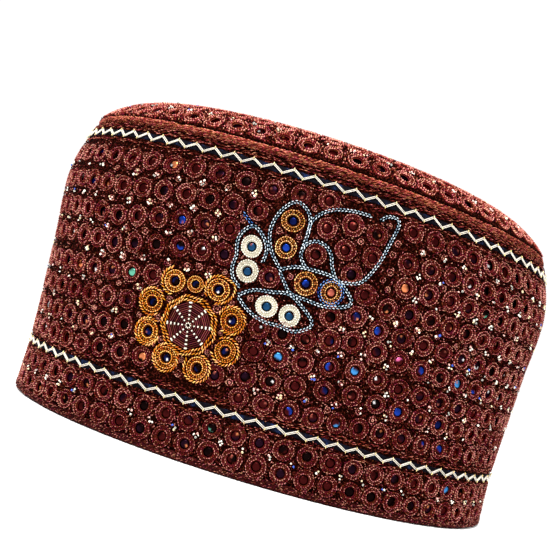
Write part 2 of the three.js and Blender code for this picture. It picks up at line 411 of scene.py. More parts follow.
SHORT_STITCH = (0.5,)
LONG_STITCH = (0.26, 0.74)
STITCH_SIDES = 3
END_LIFT = 0.25  # height and tone of a stitch's ends and sides, as shares of its crest's; those tones are painted shade
SIDE_LIFT = 0.3
END_PAINTED_SHADE = 0.24
SIDE_PAINTED_SHADE = 0.26
# Tone of a cord's dark core: painted shade that shows between its stitches.
CORE_PAINTED_SHADE = -0.25
GAP_BATCH = 2000  # places whose gaps are measured at once


def unit(vectors: Array) -> Array:
    """Directions of vectors that lie along the last axis."""
    return vectors / np.maximum(np.linalg.norm(vectors, axis=-1, keepdims=True), 1e-6)


def sideways(runs: Array) -> Array:
    """Unit vectors to the left of flat runs."""
    ahead = unit(runs)
    return np.stack([-ahead[..., 1], ahead[..., 0]], -1)


def around(radius: Array | float, angles: Array) -> Array:
    """Places on circles round the origin."""
    return np.stack([radius * np.cos(angles), radius * np.sin(angles)], -1)


def oval(half_width: Array | float, half_depth: Array | float, turns: Array) -> Array:
    """Places (x, y) on ovals round the origin, at turns from the front."""
    return np.stack([half_width * np.sin(turns), -half_depth * np.cos(turns)], -1)


def gaps(spots: Array, taken: Array) -> Array:
    """Distance from each spot to the nearest taken place."""
    parts = np.array_split(spots, 1 + len(spots) // GAP_BATCH)
    return np.concatenate([np.linalg.norm(part[:, None] - taken[None], axis=2).min(1) for part in parts])


def lengths_along(line: Array) -> Array:
    """Distance along a line from its start to each of its points."""
    return np.concatenate([[0.0], np.cumsum(np.linalg.norm(np.diff(line, axis=0), axis=1))])


def copies(faces: Array, count: int, size: int) -> Array:
    """Triangles of a count of like shapes, from the triangles of one and its size in vertices."""
    return (faces[None] + size * np.arange(count)[:, None, None]).reshape(-1, 3)


def grid_faces(columns: int, rows: int, closed: bool = True) -> Array:
    """Triangles of vertices kept column by column, the last column joined to the first.

    Args:
        columns: how many columns there are.
        rows: vertices in a column.
        closed: whether the last row joins the first.

    Returns:
        (n, 3) triangles that face out when columns go right and rows go up.
    """
    last_row = rows if closed else rows - 1
    column, row = np.meshgrid(np.arange(columns), np.arange(last_row), indexing="ij")
    beside = (column + 1) % columns * rows
    above = (row + 1) % rows
    here = column * rows + row
    across = beside + above
    lower = np.stack([here, beside + row, across], -1).reshape(-1, 3)
    upper = np.stack([here, across, column * rows + above], -1).reshape(-1, 3)
    return np.concatenate([lower, upper])


def stitch_size(shares: Shares) -> int:
    """Vertices of a stitch with sections at shares of its length."""
    return 2 + STITCH_SIDES * len(shares)


def stitch_faces(count: int, shares: Shares) -> Array:
    """Triangles of a run of stitches.

    Args:
        count: how many stitches there are.
        shares: where along a stitch its sections lie.

    Returns:
        Triangles, counted from the first stitch's first vertex.
    """
    size = stitch_size(shares)
    last = size - 2 - STITCH_SIDES
    faces = []
    for side in range(STITCH_SIDES):
        here = 1 + side
        beside = 1 + (side + 1) % STITCH_SIDES
        faces.append((0, beside, here))
        for step in range(0, last, STITCH_SIDES):
            after = step + STITCH_SIDES
            faces.append((here + step, beside + step, beside + after))
            faces.append((here + step, beside + after, here + after))
        faces.append((size - 1, here + last, beside + last))
    return copies(np.array(faces), count, size)


def stitches(start: Array, end: Array, half: float, rise: float, seat: float = 0.0,
             shade: Array | float = 1.0, shares: Shares = SHORT_STITCH) -> Worked:
    """Ridged stitches lying flat between pairs of places.

    Args:
        start: (..., 2) places where they come up.
        end: (..., 2) places where they go down.
        half: half their width.
        rise: how high they stand.
        seat: height that they lie on.
        shade: tone of each stitch's crest.
        shares: where along a stitch its sections lie.

    Returns:
        The stitches.
    """
    run = end - start
    side = half * sideways(run)
    size = start.shape[:-1]
    points = np.zeros((*size, stitch_size(shares), 3))
    tones = np.zeros(points.shape[:-1])
    crest = np.broadcast_to(np.asarray(shade, dtype=float), size)
    points[..., 0, :2] = start
    points[..., -1, :2] = end
    points[..., [0, -1], 2] = seat + END_LIFT * rise
    # The ends and sides are painted darker than the crest: painted shade, with a painted highlight along the
    # crest.
    tones[..., [0, -1]] = END_PAINTED_SHADE * crest[..., None]
    for section, share in enumerate(shares):
        left = 1 + STITCH_SIDES * section
        top = left + 1
        right = left + 2
        middle = start + share * run
        points[..., left, :2] = middle + side
        points[..., top, :2] = middle
        points[..., right, :2] = middle - side
        points[..., [left, right], 2] = seat + SIDE_LIFT * rise
        points[..., top, 2] = seat + rise
        tones[..., [left, right]] = SIDE_PAINTED_SHADE * crest[..., None]
        tones[..., top] = crest
    return points, tones


def painted_shade_core(line: Array, half: float, rise: float) -> Worked:
    """A dark cord under stitches of a given rise on a line: painted shade that shows between them."""
    overlap = 0.1 * (line[1:] - line[:-1])
    return stitches(line[:-1] - overlap, line[1:] + overlap, half, 0.6 * rise, 0.05, CORE_PAINTED_SHADE, LONG_STITCH)


def smooth_line(corners: Line | Array, step: float) -> Array:
    """A smooth line through places, cut into even steps.

    Args:
        corners: the places it passes through.
        step: about how far apart its points are.

    Returns:
        (n, 2) points.
    """
    knots = np.array(corners, dtype=float)
    knots = np.concatenate([2 * knots[:1] - knots[1:2], knots, 2 * knots[-1:] - knots[-2:-1]])
    spans = np.sqrt(np.linalg.norm(np.diff(knots, axis=0), axis=1))
    shares = np.linspace(0.0, 1.0, 24, endpoint=False)[:, None]
    pieces = []
    for i in range(1, len(knots) - 2):
        before, here, after = spans[i - 1], spans[i], spans[i + 1]
        chord = (knots[i + 1] - knots[i]) / here
        leave = (knots[i] - knots[i - 1]) / before - (knots[i + 1] - knots[i - 1]) / (before + here) + chord
        reach = chord - (knots[i + 2] - knots[i]) / (here + after) + (knots[i + 2] - knots[i + 1]) / after
        pieces.append(
            knots[i] * (1 + 2 * shares) * (1 - shares) ** 2
            + leave * here * shares * (1 - shares) ** 2
            + knots[i + 1] * shares**2 * (3 - 2 * shares)
            - reach * here * shares**2 * (1 - shares)
        )
    line = np.concatenate([*pieces, knots[-2:-1]])
    lengths = lengths_along(line)
    even = np.linspace(0.0, lengths[-1], max(2, round(lengths[-1] / step) + 1))
    return np.stack([np.interp(even, lengths, line[:, 0]), np.interp(even, lengths, line[:, 1])], 1)


@dataclass
class PieceMesh:
    """Vertices and triangles of one piece, gathered before its mesh is made."""

    points: list[Array] = field(default_factory=list)
    faces: list[Array] = field(default_factory=list)
    layers: dict[str, list[Array]] = field(default_factory=dict)  # attributes of the vertices
    count: int = 0  # vertices so far

    def add(self, points: Array, faces: Array, **layers: Array) -> "PieceMesh":
        """Adds a patch.

        Args:
            points: (..., 3) places in millimetres.
            faces: (m, 3) triangles, counted from the patch's first vertex.
            layers: tone, tint or cloth_place of each vertex.

        Returns:
            The piece itself.
        """
        self.points.append(points.reshape(-1, 3))
        self.faces.append(faces + self.count)
        self.count += len(self.points[-1])
        for layer, values in layers.items():
            self.layers.setdefault(layer, []).append(values.ravel())
        return self

    def sew(self, points: Array, tones: Array, shares: Shares = SHORT_STITCH) -> "PieceMesh":
        """Adds stitches: their (..., 3) places and their tones, with sections at shares of their length."""
        return self.add(points, stitch_faces(tones.size // stitch_size(shares), shares), tone=tones)

    def build(self, name: str, finish: Finish, *replaced: str) -> None:
        """Makes the object, dresses it and lets it ride on the cap.

        Args:
            name: the piece's name.
            finish: what its surface is.
            replaced: CAD nodes that it stands for.
        """
        points = np.concatenate(self.points) * MM
        faces = np.concatenate(self.faces)
        mesh = bpy.data.meshes.new(name)
        mesh.vertices.add(len(points))
        mesh.vertices.foreach_set("co", points.astype(np.float32).ravel())
        mesh.loops.add(3 * len(faces))
        mesh.loops.foreach_set("vertex_index", faces.astype(np.int32).ravel())
        mesh.polygons.add(len(faces))
        mesh.polygons.foreach_set("loop_start", np.arange(0, 3 * len(faces), 3, dtype=np.int32))
        mesh.polygons.foreach_set("use_smooth", np.ones(len(faces), dtype=bool))
        mesh.update(calc_edges=True)
        for layer, values in self.layers.items():
            kind, key = LAYERS[layer]
            attribute = mesh.attributes.new(layer, kind, "POINT")
            attribute.data.foreach_set(key, np.concatenate(values).astype(np.float32))
        mesh.materials.append(finish.material())
        piece = bpy.data.objects.new(name, mesh)
        bpy.context.scene.collection.objects.link(piece)
        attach(piece, BODY)
        if replaced:
            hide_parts(*replaced)
        log.info("%s: %d triangles", name, len(faces))


@dataclass(frozen=True)
class CapForm:
    """The standing cap's form: an oval wall that leans a little, and a flat, domed crown."""

    half_width: float = 97.4  # half the wall's width at its middle
    half_depth: float = 69.4  # half its depth there
    settle_height: float = 100.3  # height at which lean and drift are given
    lean: float = -0.015  # rise for each millimetre to the right
    drift: float = -1.35  # sideways drift of the top
    cloth: float = 2.6  # thickness of the padded cloth
    wall_heights: tuple[float, ...] = (0.0, 19.6, 60.0, 86.3, 100.3, 108.0)
    wall_half_widths: tuple[float, ...] = (96.0, 95.6, 97.4, 98.8, 95.6, 92.9)  # at those heights
    fullest: float = 86.3  # height at which the wall is widest
    wall_bottom: float = 3.2
    wall_top: float = 104.0
    crown_edge: float = 108.0
    crown_rise: float = 12.3
    crown_power: int = 4  # power of the squared radius that the crown's profile follows
    crown_half_width: float = 92.9
    girth_points: int = 2881  # points round the wall that distances along it are measured over

    @property
    def narrowing(self) -> float:
        """How much less deep than wide the cap is, on each side."""
        return self.half_width - self.half_depth

    @property
    def crown_half_depth(self) -> float:
        """Half the crown's depth."""
        return self.crown_half_width - self.narrowing

    @cached_property
    def _girth_table(self) -> tuple[Array, Array]:
        """Distances along the wall and the turns from the front that they reach."""
        turns = np.linspace(0.0, FULL_TURN, self.girth_points)
        return lengths_along(oval(self.half_width, self.half_depth, turns)), turns

    @property
    def girth(self) -> float:
        """Distance once round the wall."""
        return float(self._girth_table[0][-1])

    def turn_at(self, along: Array) -> Array:
        """Turn from the front for distances along the wall."""
        lengths, turns = self._girth_table
        return np.interp(np.mod(along, self.girth), lengths, turns)

    def wall_half_width(self, height: Array) -> Array:
        """Half width of the wall's outer face, smooth between the given heights.

        Args:
            height: heights up the wall.

        Returns:
            The half width at each height.
        """
        knots = np.array(self.wall_heights)
        values = np.array(self.wall_half_widths)
        chords = np.diff(values) / np.diff(knots)
        slopes = np.concatenate([chords[:1], (chords[:-1] + chords[1:]) / 2, chords[-1:]])
        index = np.clip(np.searchsorted(knots, height, side="right") - 1, 0, len(knots) - 2)
        span = knots[index + 1] - knots[index]
        t = (height - knots[index]) / span
        start = values[index] * (1 + 2 * t) * (1 - t) ** 2 + slopes[index] * span * t * (1 - t) ** 2
        end = values[index + 1] * t**2 * (3 - 2 * t) - slopes[index + 1] * span * t**2 * (1 - t)
        return start + end

    def settled(self, points: Array) -> Array:
        """Leans and drifts points as the standing cap does, more towards its top.

        Args:
            points: (..., 3) places on the upright form.

        Returns:
            The same places on the settled cap.
        """
        moved = points.copy()
        moved[..., 0] += self.drift * (points[..., 2] - self.fullest) / self.settle_height
        moved[..., 2] += points[..., 2] / self.settle_height * self.lean * points[..., 0]
        return moved

    def round_oval(self, turn: Array, half_width: Array, height: Array, lift: Array = 0.0) -> Array:
        """Places on an oval ring of the wall, hem or piping.

        Args:
            turn: turns from the front.
            half_width: half width of the ring.
            height: height of the ring.
            lift: distance out from it.

        Returns:
            (..., 3) places on the settled cap.
        """
        half_depth = half_width - self.narrowing
        out_x = np.sin(turn) / half_width
        out_y = -np.cos(turn) / half_depth
        size = np.hypot(out_x, out_y)
        x = half_width * np.sin(turn) + lift * out_x / size
        y = -half_depth * np.cos(turn) + lift * out_y / size
        return self.settled(np.stack(np.broadcast_arrays(x, y, height), -1).astype(float))

    def on_wall(self, local: Array, anchor: Array | Place = (0.0, 0.0)) -> Array:
        """Lays (..., 3) flat places on the wall, from anchors (..., 2) on it."""
        along, height = np.moveaxis(local[..., :2] + anchor, -1, 0)
        return self.round_oval(self.turn_at(along), self.wall_half_width(height), height, local[..., 2])

    @property
    def _crown_sizes(self) -> Array:
        """Half the crown's width and depth."""
        return np.array([self.crown_half_width, self.crown_half_depth])

    def _crown_radius(self, plan: Array) -> Array:
        """Squared radius on the crown, 1 at its edge, over places (x, y)."""
        return ((plan / self._crown_sizes) ** 2).sum(-1)

    def crown_height(self, plan: Array) -> Array:
        """Height of the crown's outer face over places (x, y)."""
        return self.crown_edge + self.crown_rise * (1 - self._crown_radius(plan) ** self.crown_power)

    def crown_slope(self, plan: Array) -> Array:
        """Slope of the crown's outer face along x and y over places (x, y)."""
        fall = -2 * self.crown_rise * self.crown_power * self._crown_radius(plan) ** (self.crown_power - 1)
        return fall[..., None] * plan / self._crown_sizes**2

    def on_crown(self, local: Array, centres: Array, headings: Array) -> Array:
        """Lays flat patterns on the crown.

        Args:
            local: (n, m, 3) flat places, right being along the heading.
            centres: (n, 2) places (x, y) of the patterns.
            headings: (n, 2) directions of the patterns, seen from above.

        Returns:
            (n, m, 3) places on the settled cap.
        """
        base = np.concatenate([centres, self.crown_height(centres)[:, None]], 1)
        normal = unit(np.concatenate([-self.crown_slope(centres), np.ones((len(centres), 1))], 1))
        level = np.concatenate([headings, np.zeros((len(centres), 1))], 1)
        first = unit(level - (level * normal).sum(1, keepdims=True) * normal)
        second = np.cross(normal, first)
        spots = base[:, None] + local[..., :1] * first[:, None] + local[..., 1:2] * second[:, None]
        for _ in range(3):
            miss = spots[..., 2] - self.crown_height(spots[..., :2])
            along_normal = (normal[:, None, :2] * self.crown_slope(spots[..., :2])).sum(-1)
            rate = normal[:, None, 2] - along_normal
            spots = spots - (miss / rate)[..., None] * normal[:, None]
        return self.settled(spots + local[..., 2:3] * normal[:, None])

    def crown_places(self, spots: Array, headings: Array) -> Array:
        """Places in the round of spots on the crown."""
        return self.on_crown(np.zeros((len(spots), 1, 3)), spots, headings)[:, 0]

    def lay(self, local: Array, spots: Array, headings: Array | None = None) -> Array:
        """Lays (n, m, 3) flat places at (n, 2) spots of the wall, or of the crown if headings are given."""
        on_wall = headings is None
        return self.on_wall(local, spots[:, None]) if on_wall else self.on_crown(local, spots, headings)


class Sewing:
    """What sewn sub-assemblies share: the cap that they are on, and random draws of their own."""

    form: CapForm
    seed: int

    @cached_property
    def draws(self) -> Draws:
        """The sub-assembly's random draws."""
        return np.random.default_rng(self.seed)

    def one_ring(self, ring: "RingStitch", spot: Place, scale: float = 1.0) -> PieceMesh:
        """Works one ring of a motif.

        Args:
            ring: how it is worked.
            spot: its place on the wall.
            scale: its size, as a share of the ring's own.

        Returns:
            The piece, not yet built.
        """
        points, tones, faces = ring.worked(1, self.draws)
        points[..., :2] *= scale
        return PieceMesh().add(self.form.on_wall(points, spot), faces, tone=tones)


@dataclass(frozen=True)
class ChainStitch:
    """A line of chain stitch: two staggered rows of short stitches over a dark cord of painted shade."""

    link: float = 1.2
    cover: float = 0.84  # share of a link that a stitch covers
    spread: float = 0.48  # distance of a stitch from the line where it starts
    pinch: float = 0.22  # and where it ends
    strand: float = 0.2
    rise: float = 0.8
    seat: float = 0.4
    core: float = 0.68  # half width of the dark cord underneath, painted shade between the stitches

    def shaded(self, line: Array, shade: Array) -> Worked:
        """Works the stitch along a line, with a tone given for each row and link.

        Args:
            line: (n, 2) places, a link apart.
            shade: (2, n - 1) tones of the two rows.

        Returns:
            The stitches.
        """
        step = line[1:] - line[:-1]
        side = sideways(step)
        rows = [painted_shade_core(line, self.core, self.rise)]
        for row, way in enumerate((1.0, -1.0)):
            start = line[:-1] + 0.5 * row * step + way * self.spread * side
            end = start + self.cover * step - way * (self.spread - self.pinch) * side
            rows.append(stitches(start, end, self.strand, self.rise, self.seat, shade[row], LONG_STITCH))
        return np.concatenate([row[0] for row in rows]), np.concatenate([row[1] for row in rows])


@dataclass(frozen=True)
class RopeStitch:
    """A twisted cord: slanting stitches, over a dark core of painted shade if it has one."""

    step: float = 0.85  # distance from one stitch to the next
    reach: float = 1.2  # length of a stitch along the cord
    width: float = 0.4  # half width of the cord
    strand: float = 0.22
    rise: float = 0.85
    seat: float = 0.1
    core: float = 0.0  # half width of the dark core of painted shade, or 0 for none
    tones: Place = (0.0, 1.2)  # tones of the dullest and the brightest stitch

    def along(self, line: Array, draws: Draws) -> Worked:
        """Works the cord along a line on the wall.

        Args:
            line: (n, 2) places, a step apart.
            draws: where the differences come from.

        Returns:
            The stitches.
        """
        run = unit(np.gradient(line, axis=0))
        half = self.reach / 2 * draws.uniform(0.8, 1.2, (len(line), 1)) * run
        slant = self.width * draws.uniform(0.8, 1.15, (len(line), 1)) * sideways(run)
        shade = draws.uniform(*self.tones, len(line))
        start = line - half - slant
        end = line + half + slant
        points, tones = stitches(start, end, self.strand, self.rise, self.seat, shade, LONG_STITCH)
        if not self.core:
            return points, tones
        bed, bed_tones = painted_shade_core(line, self.core, self.rise)
        return np.concatenate([bed, points]), np.concatenate([bed_tones, tones])


@dataclass(frozen=True)
class RingStitch:
    """An eyelet ring: an outer and an inner strand joined by bars over padding, round a hole."""

    outer: float = 3.42  # radius of the outer strand
    inner: float = 2.28
    outer_links: int = 24  # stitches in the outer strand
    inner_links: int = 17
    bars: int = 18
    strand: float = 0.23
    bar: float = 0.19  # half width of a bar
    rise: float = 1.0
    bar_share: float = 0.85  # how high the bars stand, as a share of the strands' rise
    bar_shade: float = 0.8  # tone of the bars, as a share of the strands'
    uneven: float = 1.0  # how much the stitches differ, 1 for the roughest work
    wall: float = 1.72  # radius of the hole at the foot of its wall
    bed: float = 0.14  # height of the padding under the stitches, or 0 for none
    # Tone of the padding, kept low as painted shade between the stitches.
    bed_tone: float = 0.13
    lean: float = 0.1  # how far a strand's stitches lean, out or in
    tuck: float = 0.15  # how far the bars keep from the strands
    twist: float = 0.22  # turn of a bar from its foot to its head
    bed_sides: int = 14  # facets round the padding
    bed_reach: float = 0.2  # how far it goes past the outer strand
    wall_tone: float = 1.3  # tone of the hole's foot, as a share of the padding's

    def worked(self, count: int, draws: Draws) -> tuple[Array, Array, Array]:
        """Works a number of rings, each a little different.

        Args:
            count: how many rings.
            draws: where the differences come from.

        Returns:
            (count, k, 3) flat places, (count, k) tones and the triangles of them all.
        """
        phase = draws.uniform(0.0, FULL_TURN, (count, 1))
        bright = draws.uniform(0.84, 1.14, (count, 1))
        worked = [
            self._strand(self.outer, self.outer_links, self.lean, phase, bright, draws),
            self._strand(self.inner, self.inner_links, -self.lean, phase, bright, draws),
            self._bars(phase, bright, draws),
        ]
        parts = [(part.reshape(count, -1, 3), tone.reshape(count, -1)) for part, tone in worked]
        faces = stitch_faces(self.outer_links + self.inner_links + self.bars, SHORT_STITCH)
        if self.bed:
            parts.append(self._bed(bright))
            faces = np.concatenate([faces, grid_faces(self.bed_sides, 4, closed=False) + faces.max() + 1])
        points = np.concatenate([part for part, _ in parts], 1)
        tones = np.concatenate([tone for _, tone in parts], 1)
        points[..., :2] *= draws.normal(1.0, 0.04, (count, 1, 2)).clip(0.92, 1.07)
        return points, tones, copies(faces, count, points.shape[1])

    def _strand(self, radius: float, links: int, lean: float, phase: Array, bright: Array,
                draws: Draws) -> Worked:
        """Works one strand of every ring.

        Args:
            radius: the strand's radius.
            links: stitches round it.
            lean: how far a stitch leans outwards at its start.
            phase: (n, 1) turn of each ring.
            bright: (n, 1) brightness of each ring.
            draws: where the differences come from.

        Returns:
            The stitches, ring by ring.
        """
        step = FULL_TURN / links
        angles = phase + step * np.arange(links)
        drift = self.uneven * draws.normal(0.0, 0.07, angles.shape)
        start = around(radius + lean + drift, angles - 0.3 * step)
        end = around(radius - lean + drift, angles + 1.3 * step)
        shade = bright * (1.0 + self.uneven * draws.uniform(-0.5, 0.4, angles.shape))
        return stitches(start, end, self.strand, self.rise, shade=shade)

    def _bars(self, phase: Array, bright: Array, draws: Draws) -> Worked:
        """Works the bars of every ring.

        Args:
            phase: (n, 1) turn of each ring.
            bright: (n, 1) brightness of each ring.
            draws: where the differences come from.

        Returns:
            The stitches, ring by ring.
        """
        size = (len(phase), self.bars)
        place = np.arange(self.bars) + self.uneven * draws.uniform(-0.4, 0.4, size)
        angles = phase + FULL_TURN * place / max(self.bars, 1)
        foot = around(self.inner + self.tuck + self.uneven * draws.uniform(-0.05, 0.2, size), angles)
        turned = angles + self.twist + self.uneven * draws.uniform(-0.15, 0.15, size)
        head = around(self.outer - self.tuck + self.uneven * draws.uniform(-0.2, 0.05, size), turned)
        shade = self.bar_shade * bright * (0.85 + self.uneven * draws.uniform(-0.75, 0.6, size))
        return stitches(foot, head, self.bar, self.rise * self.bar_share, shade=shade)

    def _bed(self, bright: Array) -> Worked:
        """Pads the rings: a low ring under their stitches that slopes into the hole, its outer foot at tone 0
        as painted shade where it meets the cloth.

        Args:
            bright: (n, 1) brightness of each ring.

        Returns:
            Its flat places and tones, ring by ring.
        """
        angles = FULL_TURN * np.arange(self.bed_sides)[:, None] / self.bed_sides
        radii = np.array([self.outer + self.bed_reach, self.outer, self.inner, self.wall])
        lift = np.broadcast_to((0.0, self.bed, self.bed, 0.0), (self.bed_sides, len(radii)))
        tones = self.bed_tone * np.tile((0.0, 1.0, 1.0, self.wall_tone), self.bed_sides)
        points = np.concatenate([around(radii, angles), lift[..., None]], -1)
        return np.repeat(points.reshape(1, -1, 3), len(bright), axis=0), bright * tones


class SequinTint(Enum):
    """Colours that a sequin shows."""

    DARK = (13, 5, 5)
    BROWN = (50, 11, 11)
    NAVY = (12, 18, 58)
    SLATE = (22, 54, 84)
    CLAY = (138, 70, 58)
    BLUE = (20, 46, 128)
    SKY = (54, 116, 170)
    PURPLE = (24, 8, 18)
    ROSE = (206, 92, 140)
    GREEN = (84, 150, 126)
    AMBER = (190, 112, 72)
    PEARL = (236, 232, 232)


class BeadTint(Enum):
    """Colours of the seed beads."""

    WHITE = (240, 233, 218)
    IVORY = (232, 214, 170)
    ROSE = (222, 178, 166)
    GREY = (160, 158, 148)
    SKY = (46, 88, 196)


# the colour of a sequin's painted glint, and of its other side
TintPair = tuple[SequinTint, SequinTint]


@dataclass(frozen=True)
class BlueArea:
    """A part of the cap with more blue beads in it, or, for sequins, more with a blue painted glint."""

    left: float
    right: float
    low: float
    high: float
    share: float  # share of the beads that are blue; for sequins, of those whose painted glint is blue

    def holds(self, spots: Array) -> Array:
        """Tells which places (..., 2) lie in the area."""
        first, second = spots[..., 0], spots[..., 1]
        return (first > self.left) & (first < self.right) & (second > self.low) & (second < self.high)


@dataclass(frozen=True)
class RingRow:
    """A row of rings on the wall, from beside the front motifs round to the back seam."""

    stations: Line  # places that the row passes through, the front one first
    steps: tuple[int, ...]  # rings from each station to the next

    def rings(self, back: float) -> Array:
        """Places of the row's rings.

        Args:
            back: how far along the wall the row goes, on either side.

        Returns:
            (n, 2) places, the front one first.
        """
        stations = np.array(self.stations)
        counts = np.concatenate([[0], np.cumsum(self.steps)])
        index = np.arange(counts[-1] + 1)
        front = np.stack([np.interp(index, counts, stations[:, k]) for k in range(2)], 1)
        last, height = stations[-1]
        pitch = abs(last - stations[0, 0]) / counts[-1]
        way = math.copysign(1.0, last - stations[0, 0])
        left = back - abs(last)
        more = round(left / pitch)
        spots = last + way * left / more * np.arange(1, more + 1)
        return np.concatenate([front, np.stack([spots, np.full(more, height)], 1)])


LEFT_ROWS = (
    RingRow(((3.2, 95.0), (-15.3, 93.0), (-33.9, 93.4), (-68.5, 91.5)), (2, 2, 4)),
    RingRow(((-17.8, 84.9), (-42.6, 83.9), (-68.0, 81.6)), (3, 3)),
    RingRow(((-25.1, 76.7), (-41.8, 75.3), (-67.0, 71.5)), (2, 3)),
    RingRow(((-24.7, 68.4), (-40.2, 66.9), (-66.3, 62.3)), (2, 3)),
    RingRow(((-47.5, 55.4), (-72.9, 52.0)), (3,)),
    RingRow(((-54.7, 45.2), (-72.2, 43.0)), (2,)),
    RingRow(((-53.7, 36.9), (-71.2, 34.1)), (2,)),
    RingRow(((-43.7, 28.6), (-70.0, 26.0)), (3,)),
)
RIGHT_ROWS = (
    RingRow(((32.8, 94.1), (49.6, 93.4), (80.0, 93.2)), (2, 4)),
    RingRow(((33.2, 83.5), (49.9, 84.6), (80.5, 84.2)), (2, 4)),
    RingRow(((34.8, 75.7), (51.8, 76.6), (83.5, 76.5)), (2, 4)),
    RingRow(((22.6, 69.5), (31.1, 67.3), (47.1, 68.4), (85.8, 67.7)), (1, 2, 5)),
    RingRow(((13.9, 59.3), (21.9, 61.8), (30.5, 59.7), (47.6, 59.7), (80.8, 58.8)), (1, 1, 2, 4)),
    RingRow(((-7.3, 49.1), (8.2, 50.0), (23.3, 53.7), (49.4, 51.4), (74.8, 50.7)), (2, 2, 3, 3)),
    RingRow(((-7.1, 41.3), (9.4, 42.5), (26.9, 45.0), (43.7, 43.3), (87.4, 42.1)), (2, 2, 2, 5)),
    RingRow(((-7.3, 32.7), (9.2, 34.6), (28.4, 36.9), (46.2, 36.0), (81.3, 34.8)), (2, 2, 2, 4)),
    RingRow(((-17.3, 30.2), (-7.6, 25.7), (17.9, 26.4), (42.0, 27.5), (84.4, 27.2)), (1, 3, 3, 5)),
)
WING_RINGS = (
    (4.8, 86.1), (12.5, 89.6), (20.9, 89.2), (12.2, 81.2), (21.3, 81.6), (16.4, 74.3), (3.7, 76.9),
    (-8.6, 65.6),
)


@dataclass
class RingField(Sewing):
    """The maroon rings that cover wall, band and crown."""

    form: CapForm
    ring: RingStitch = RingStitch()
    seam_clear: float = 4.6  # distance of the last rings from the back seam
    band_heights: tuple[float, float] = (13.6, 6.1)  # heights of the two rows below the lower zigzag
    band_starts: tuple[float, float] = (3.2, 4.2)  # where along the wall each of them has a ring
    band_rings: int = 64  # rings in each of them
    crown_first: float = 4.4  # distance of the crown's first row from its edge, over the cloth
    crown_pitch: float = 8.5  # distance between the crown's rows
    crown_twist: float = 0.3  # turn of each of them from the one before
    ring_pitch: float = 8.5  # distance between rings in a crown row
    row_points: int = 1441  # points along a crown row that its length is measured over
    slope_points: int = 800  # points from the crown's edge to its middle
    seed: int = 11

    def __post_init__(self) -> None:
        """Lays out the rows."""
        back = self.form.girth / 2 - self.seam_clear
        self.left_rows = [row.rings(back) for row in LEFT_ROWS]
        self.right_rows = [row.rings(back) for row in RIGHT_ROWS]
        self.band_rows = [self._band_row(*row) for row in zip(self.band_starts, self.band_heights)]
        self.left = np.concatenate(self.left_rows)
        self.right = np.concatenate([*self.right_rows, np.array(WING_RINGS)])
        self.band = np.concatenate(self.band_rows)
        self.wall = np.concatenate([self.left, self.right, self.band])
        self.crown_rows = self._crown_rows()
        self.crown = np.concatenate([row[0] for row in self.crown_rows])
        self.crown_headings = np.concatenate([row[1] for row in self.crown_rows])

    def _band_row(self, start: float, height: float) -> Array:
        """Places of a row that goes all the way round.

        Args:
            start: where along the wall it has a ring.
            height: its height.

        Returns:
            (n, 2) places.
        """
        along = start + self.form.girth * np.arange(self.band_rings) / self.band_rings
        half = self.form.girth / 2
        return np.stack([np.mod(along + half, self.form.girth) - half, np.full(self.band_rings, height)], 1)

    def _crown_rows(self) -> list[tuple[Array, Array]]:
        """Rows of rings on the crown, from its edge to its middle.

        Returns:
            Places (x, y) and headings of each row's rings.
        """
        depth = self.form.crown_half_depth
        inset = np.linspace(0.0, depth, self.slope_points)
        height = self.form.crown_height(np.stack([np.zeros(len(inset)), inset - depth], 1))
        cloth = lengths_along(np.stack([inset, height], 1))
        rows = []
        for distance in np.arange(self.crown_first, cloth[-1] - 1.0, self.crown_pitch):
            rows.append(self._crown_row(float(np.interp(distance, cloth, inset)), len(rows)))
        return rows

    def _crown_row(self, inset: float, number: int) -> tuple[Array, Array]:
        """One row of rings on the crown.

        Args:
            inset: distance in from the crown's edge, seen from above.
            number: the row's number, which turns it a little.

        Returns:
            (n, 2) places (x, y) and (n, 2) headings.
        """
        turns = np.linspace(0.0, FULL_TURN, self.row_points) + self.crown_twist * number
        half_width = self.form.crown_half_width - inset
        half_depth = self.form.crown_half_depth - inset
        lengths = lengths_along(oval(half_width, half_depth, turns))
        count = max(1, round(lengths[-1] / self.ring_pitch))
        picked = np.interp(np.arange(count) / count * lengths[-1], lengths, turns)
        headings = unit(np.stack([half_width * np.cos(picked), half_depth * np.sin(picked)], 1))
        return oval(half_width, half_depth, picked), headings

    def build(self) -> None:
        """Builds the rings in four pieces."""
        for name, finish, spots, headings in (
            ("rings_left", MAROON, self.left, None),
            ("rings_right", MAROON, self.right, None),
            ("rings_band", MAROON, self.band, None),
            # The crown's rings take the maroon thread painted lighter as light from above.
            ("rings_crown", LIT_CROWN, self.crown, self.crown_headings),
        ):
            points, tones, faces = self.ring.worked(len(spots), self.draws)
            PieceMesh().add(self.form.lay(points, spots, headings), faces, tone=tones).build(name, finish)


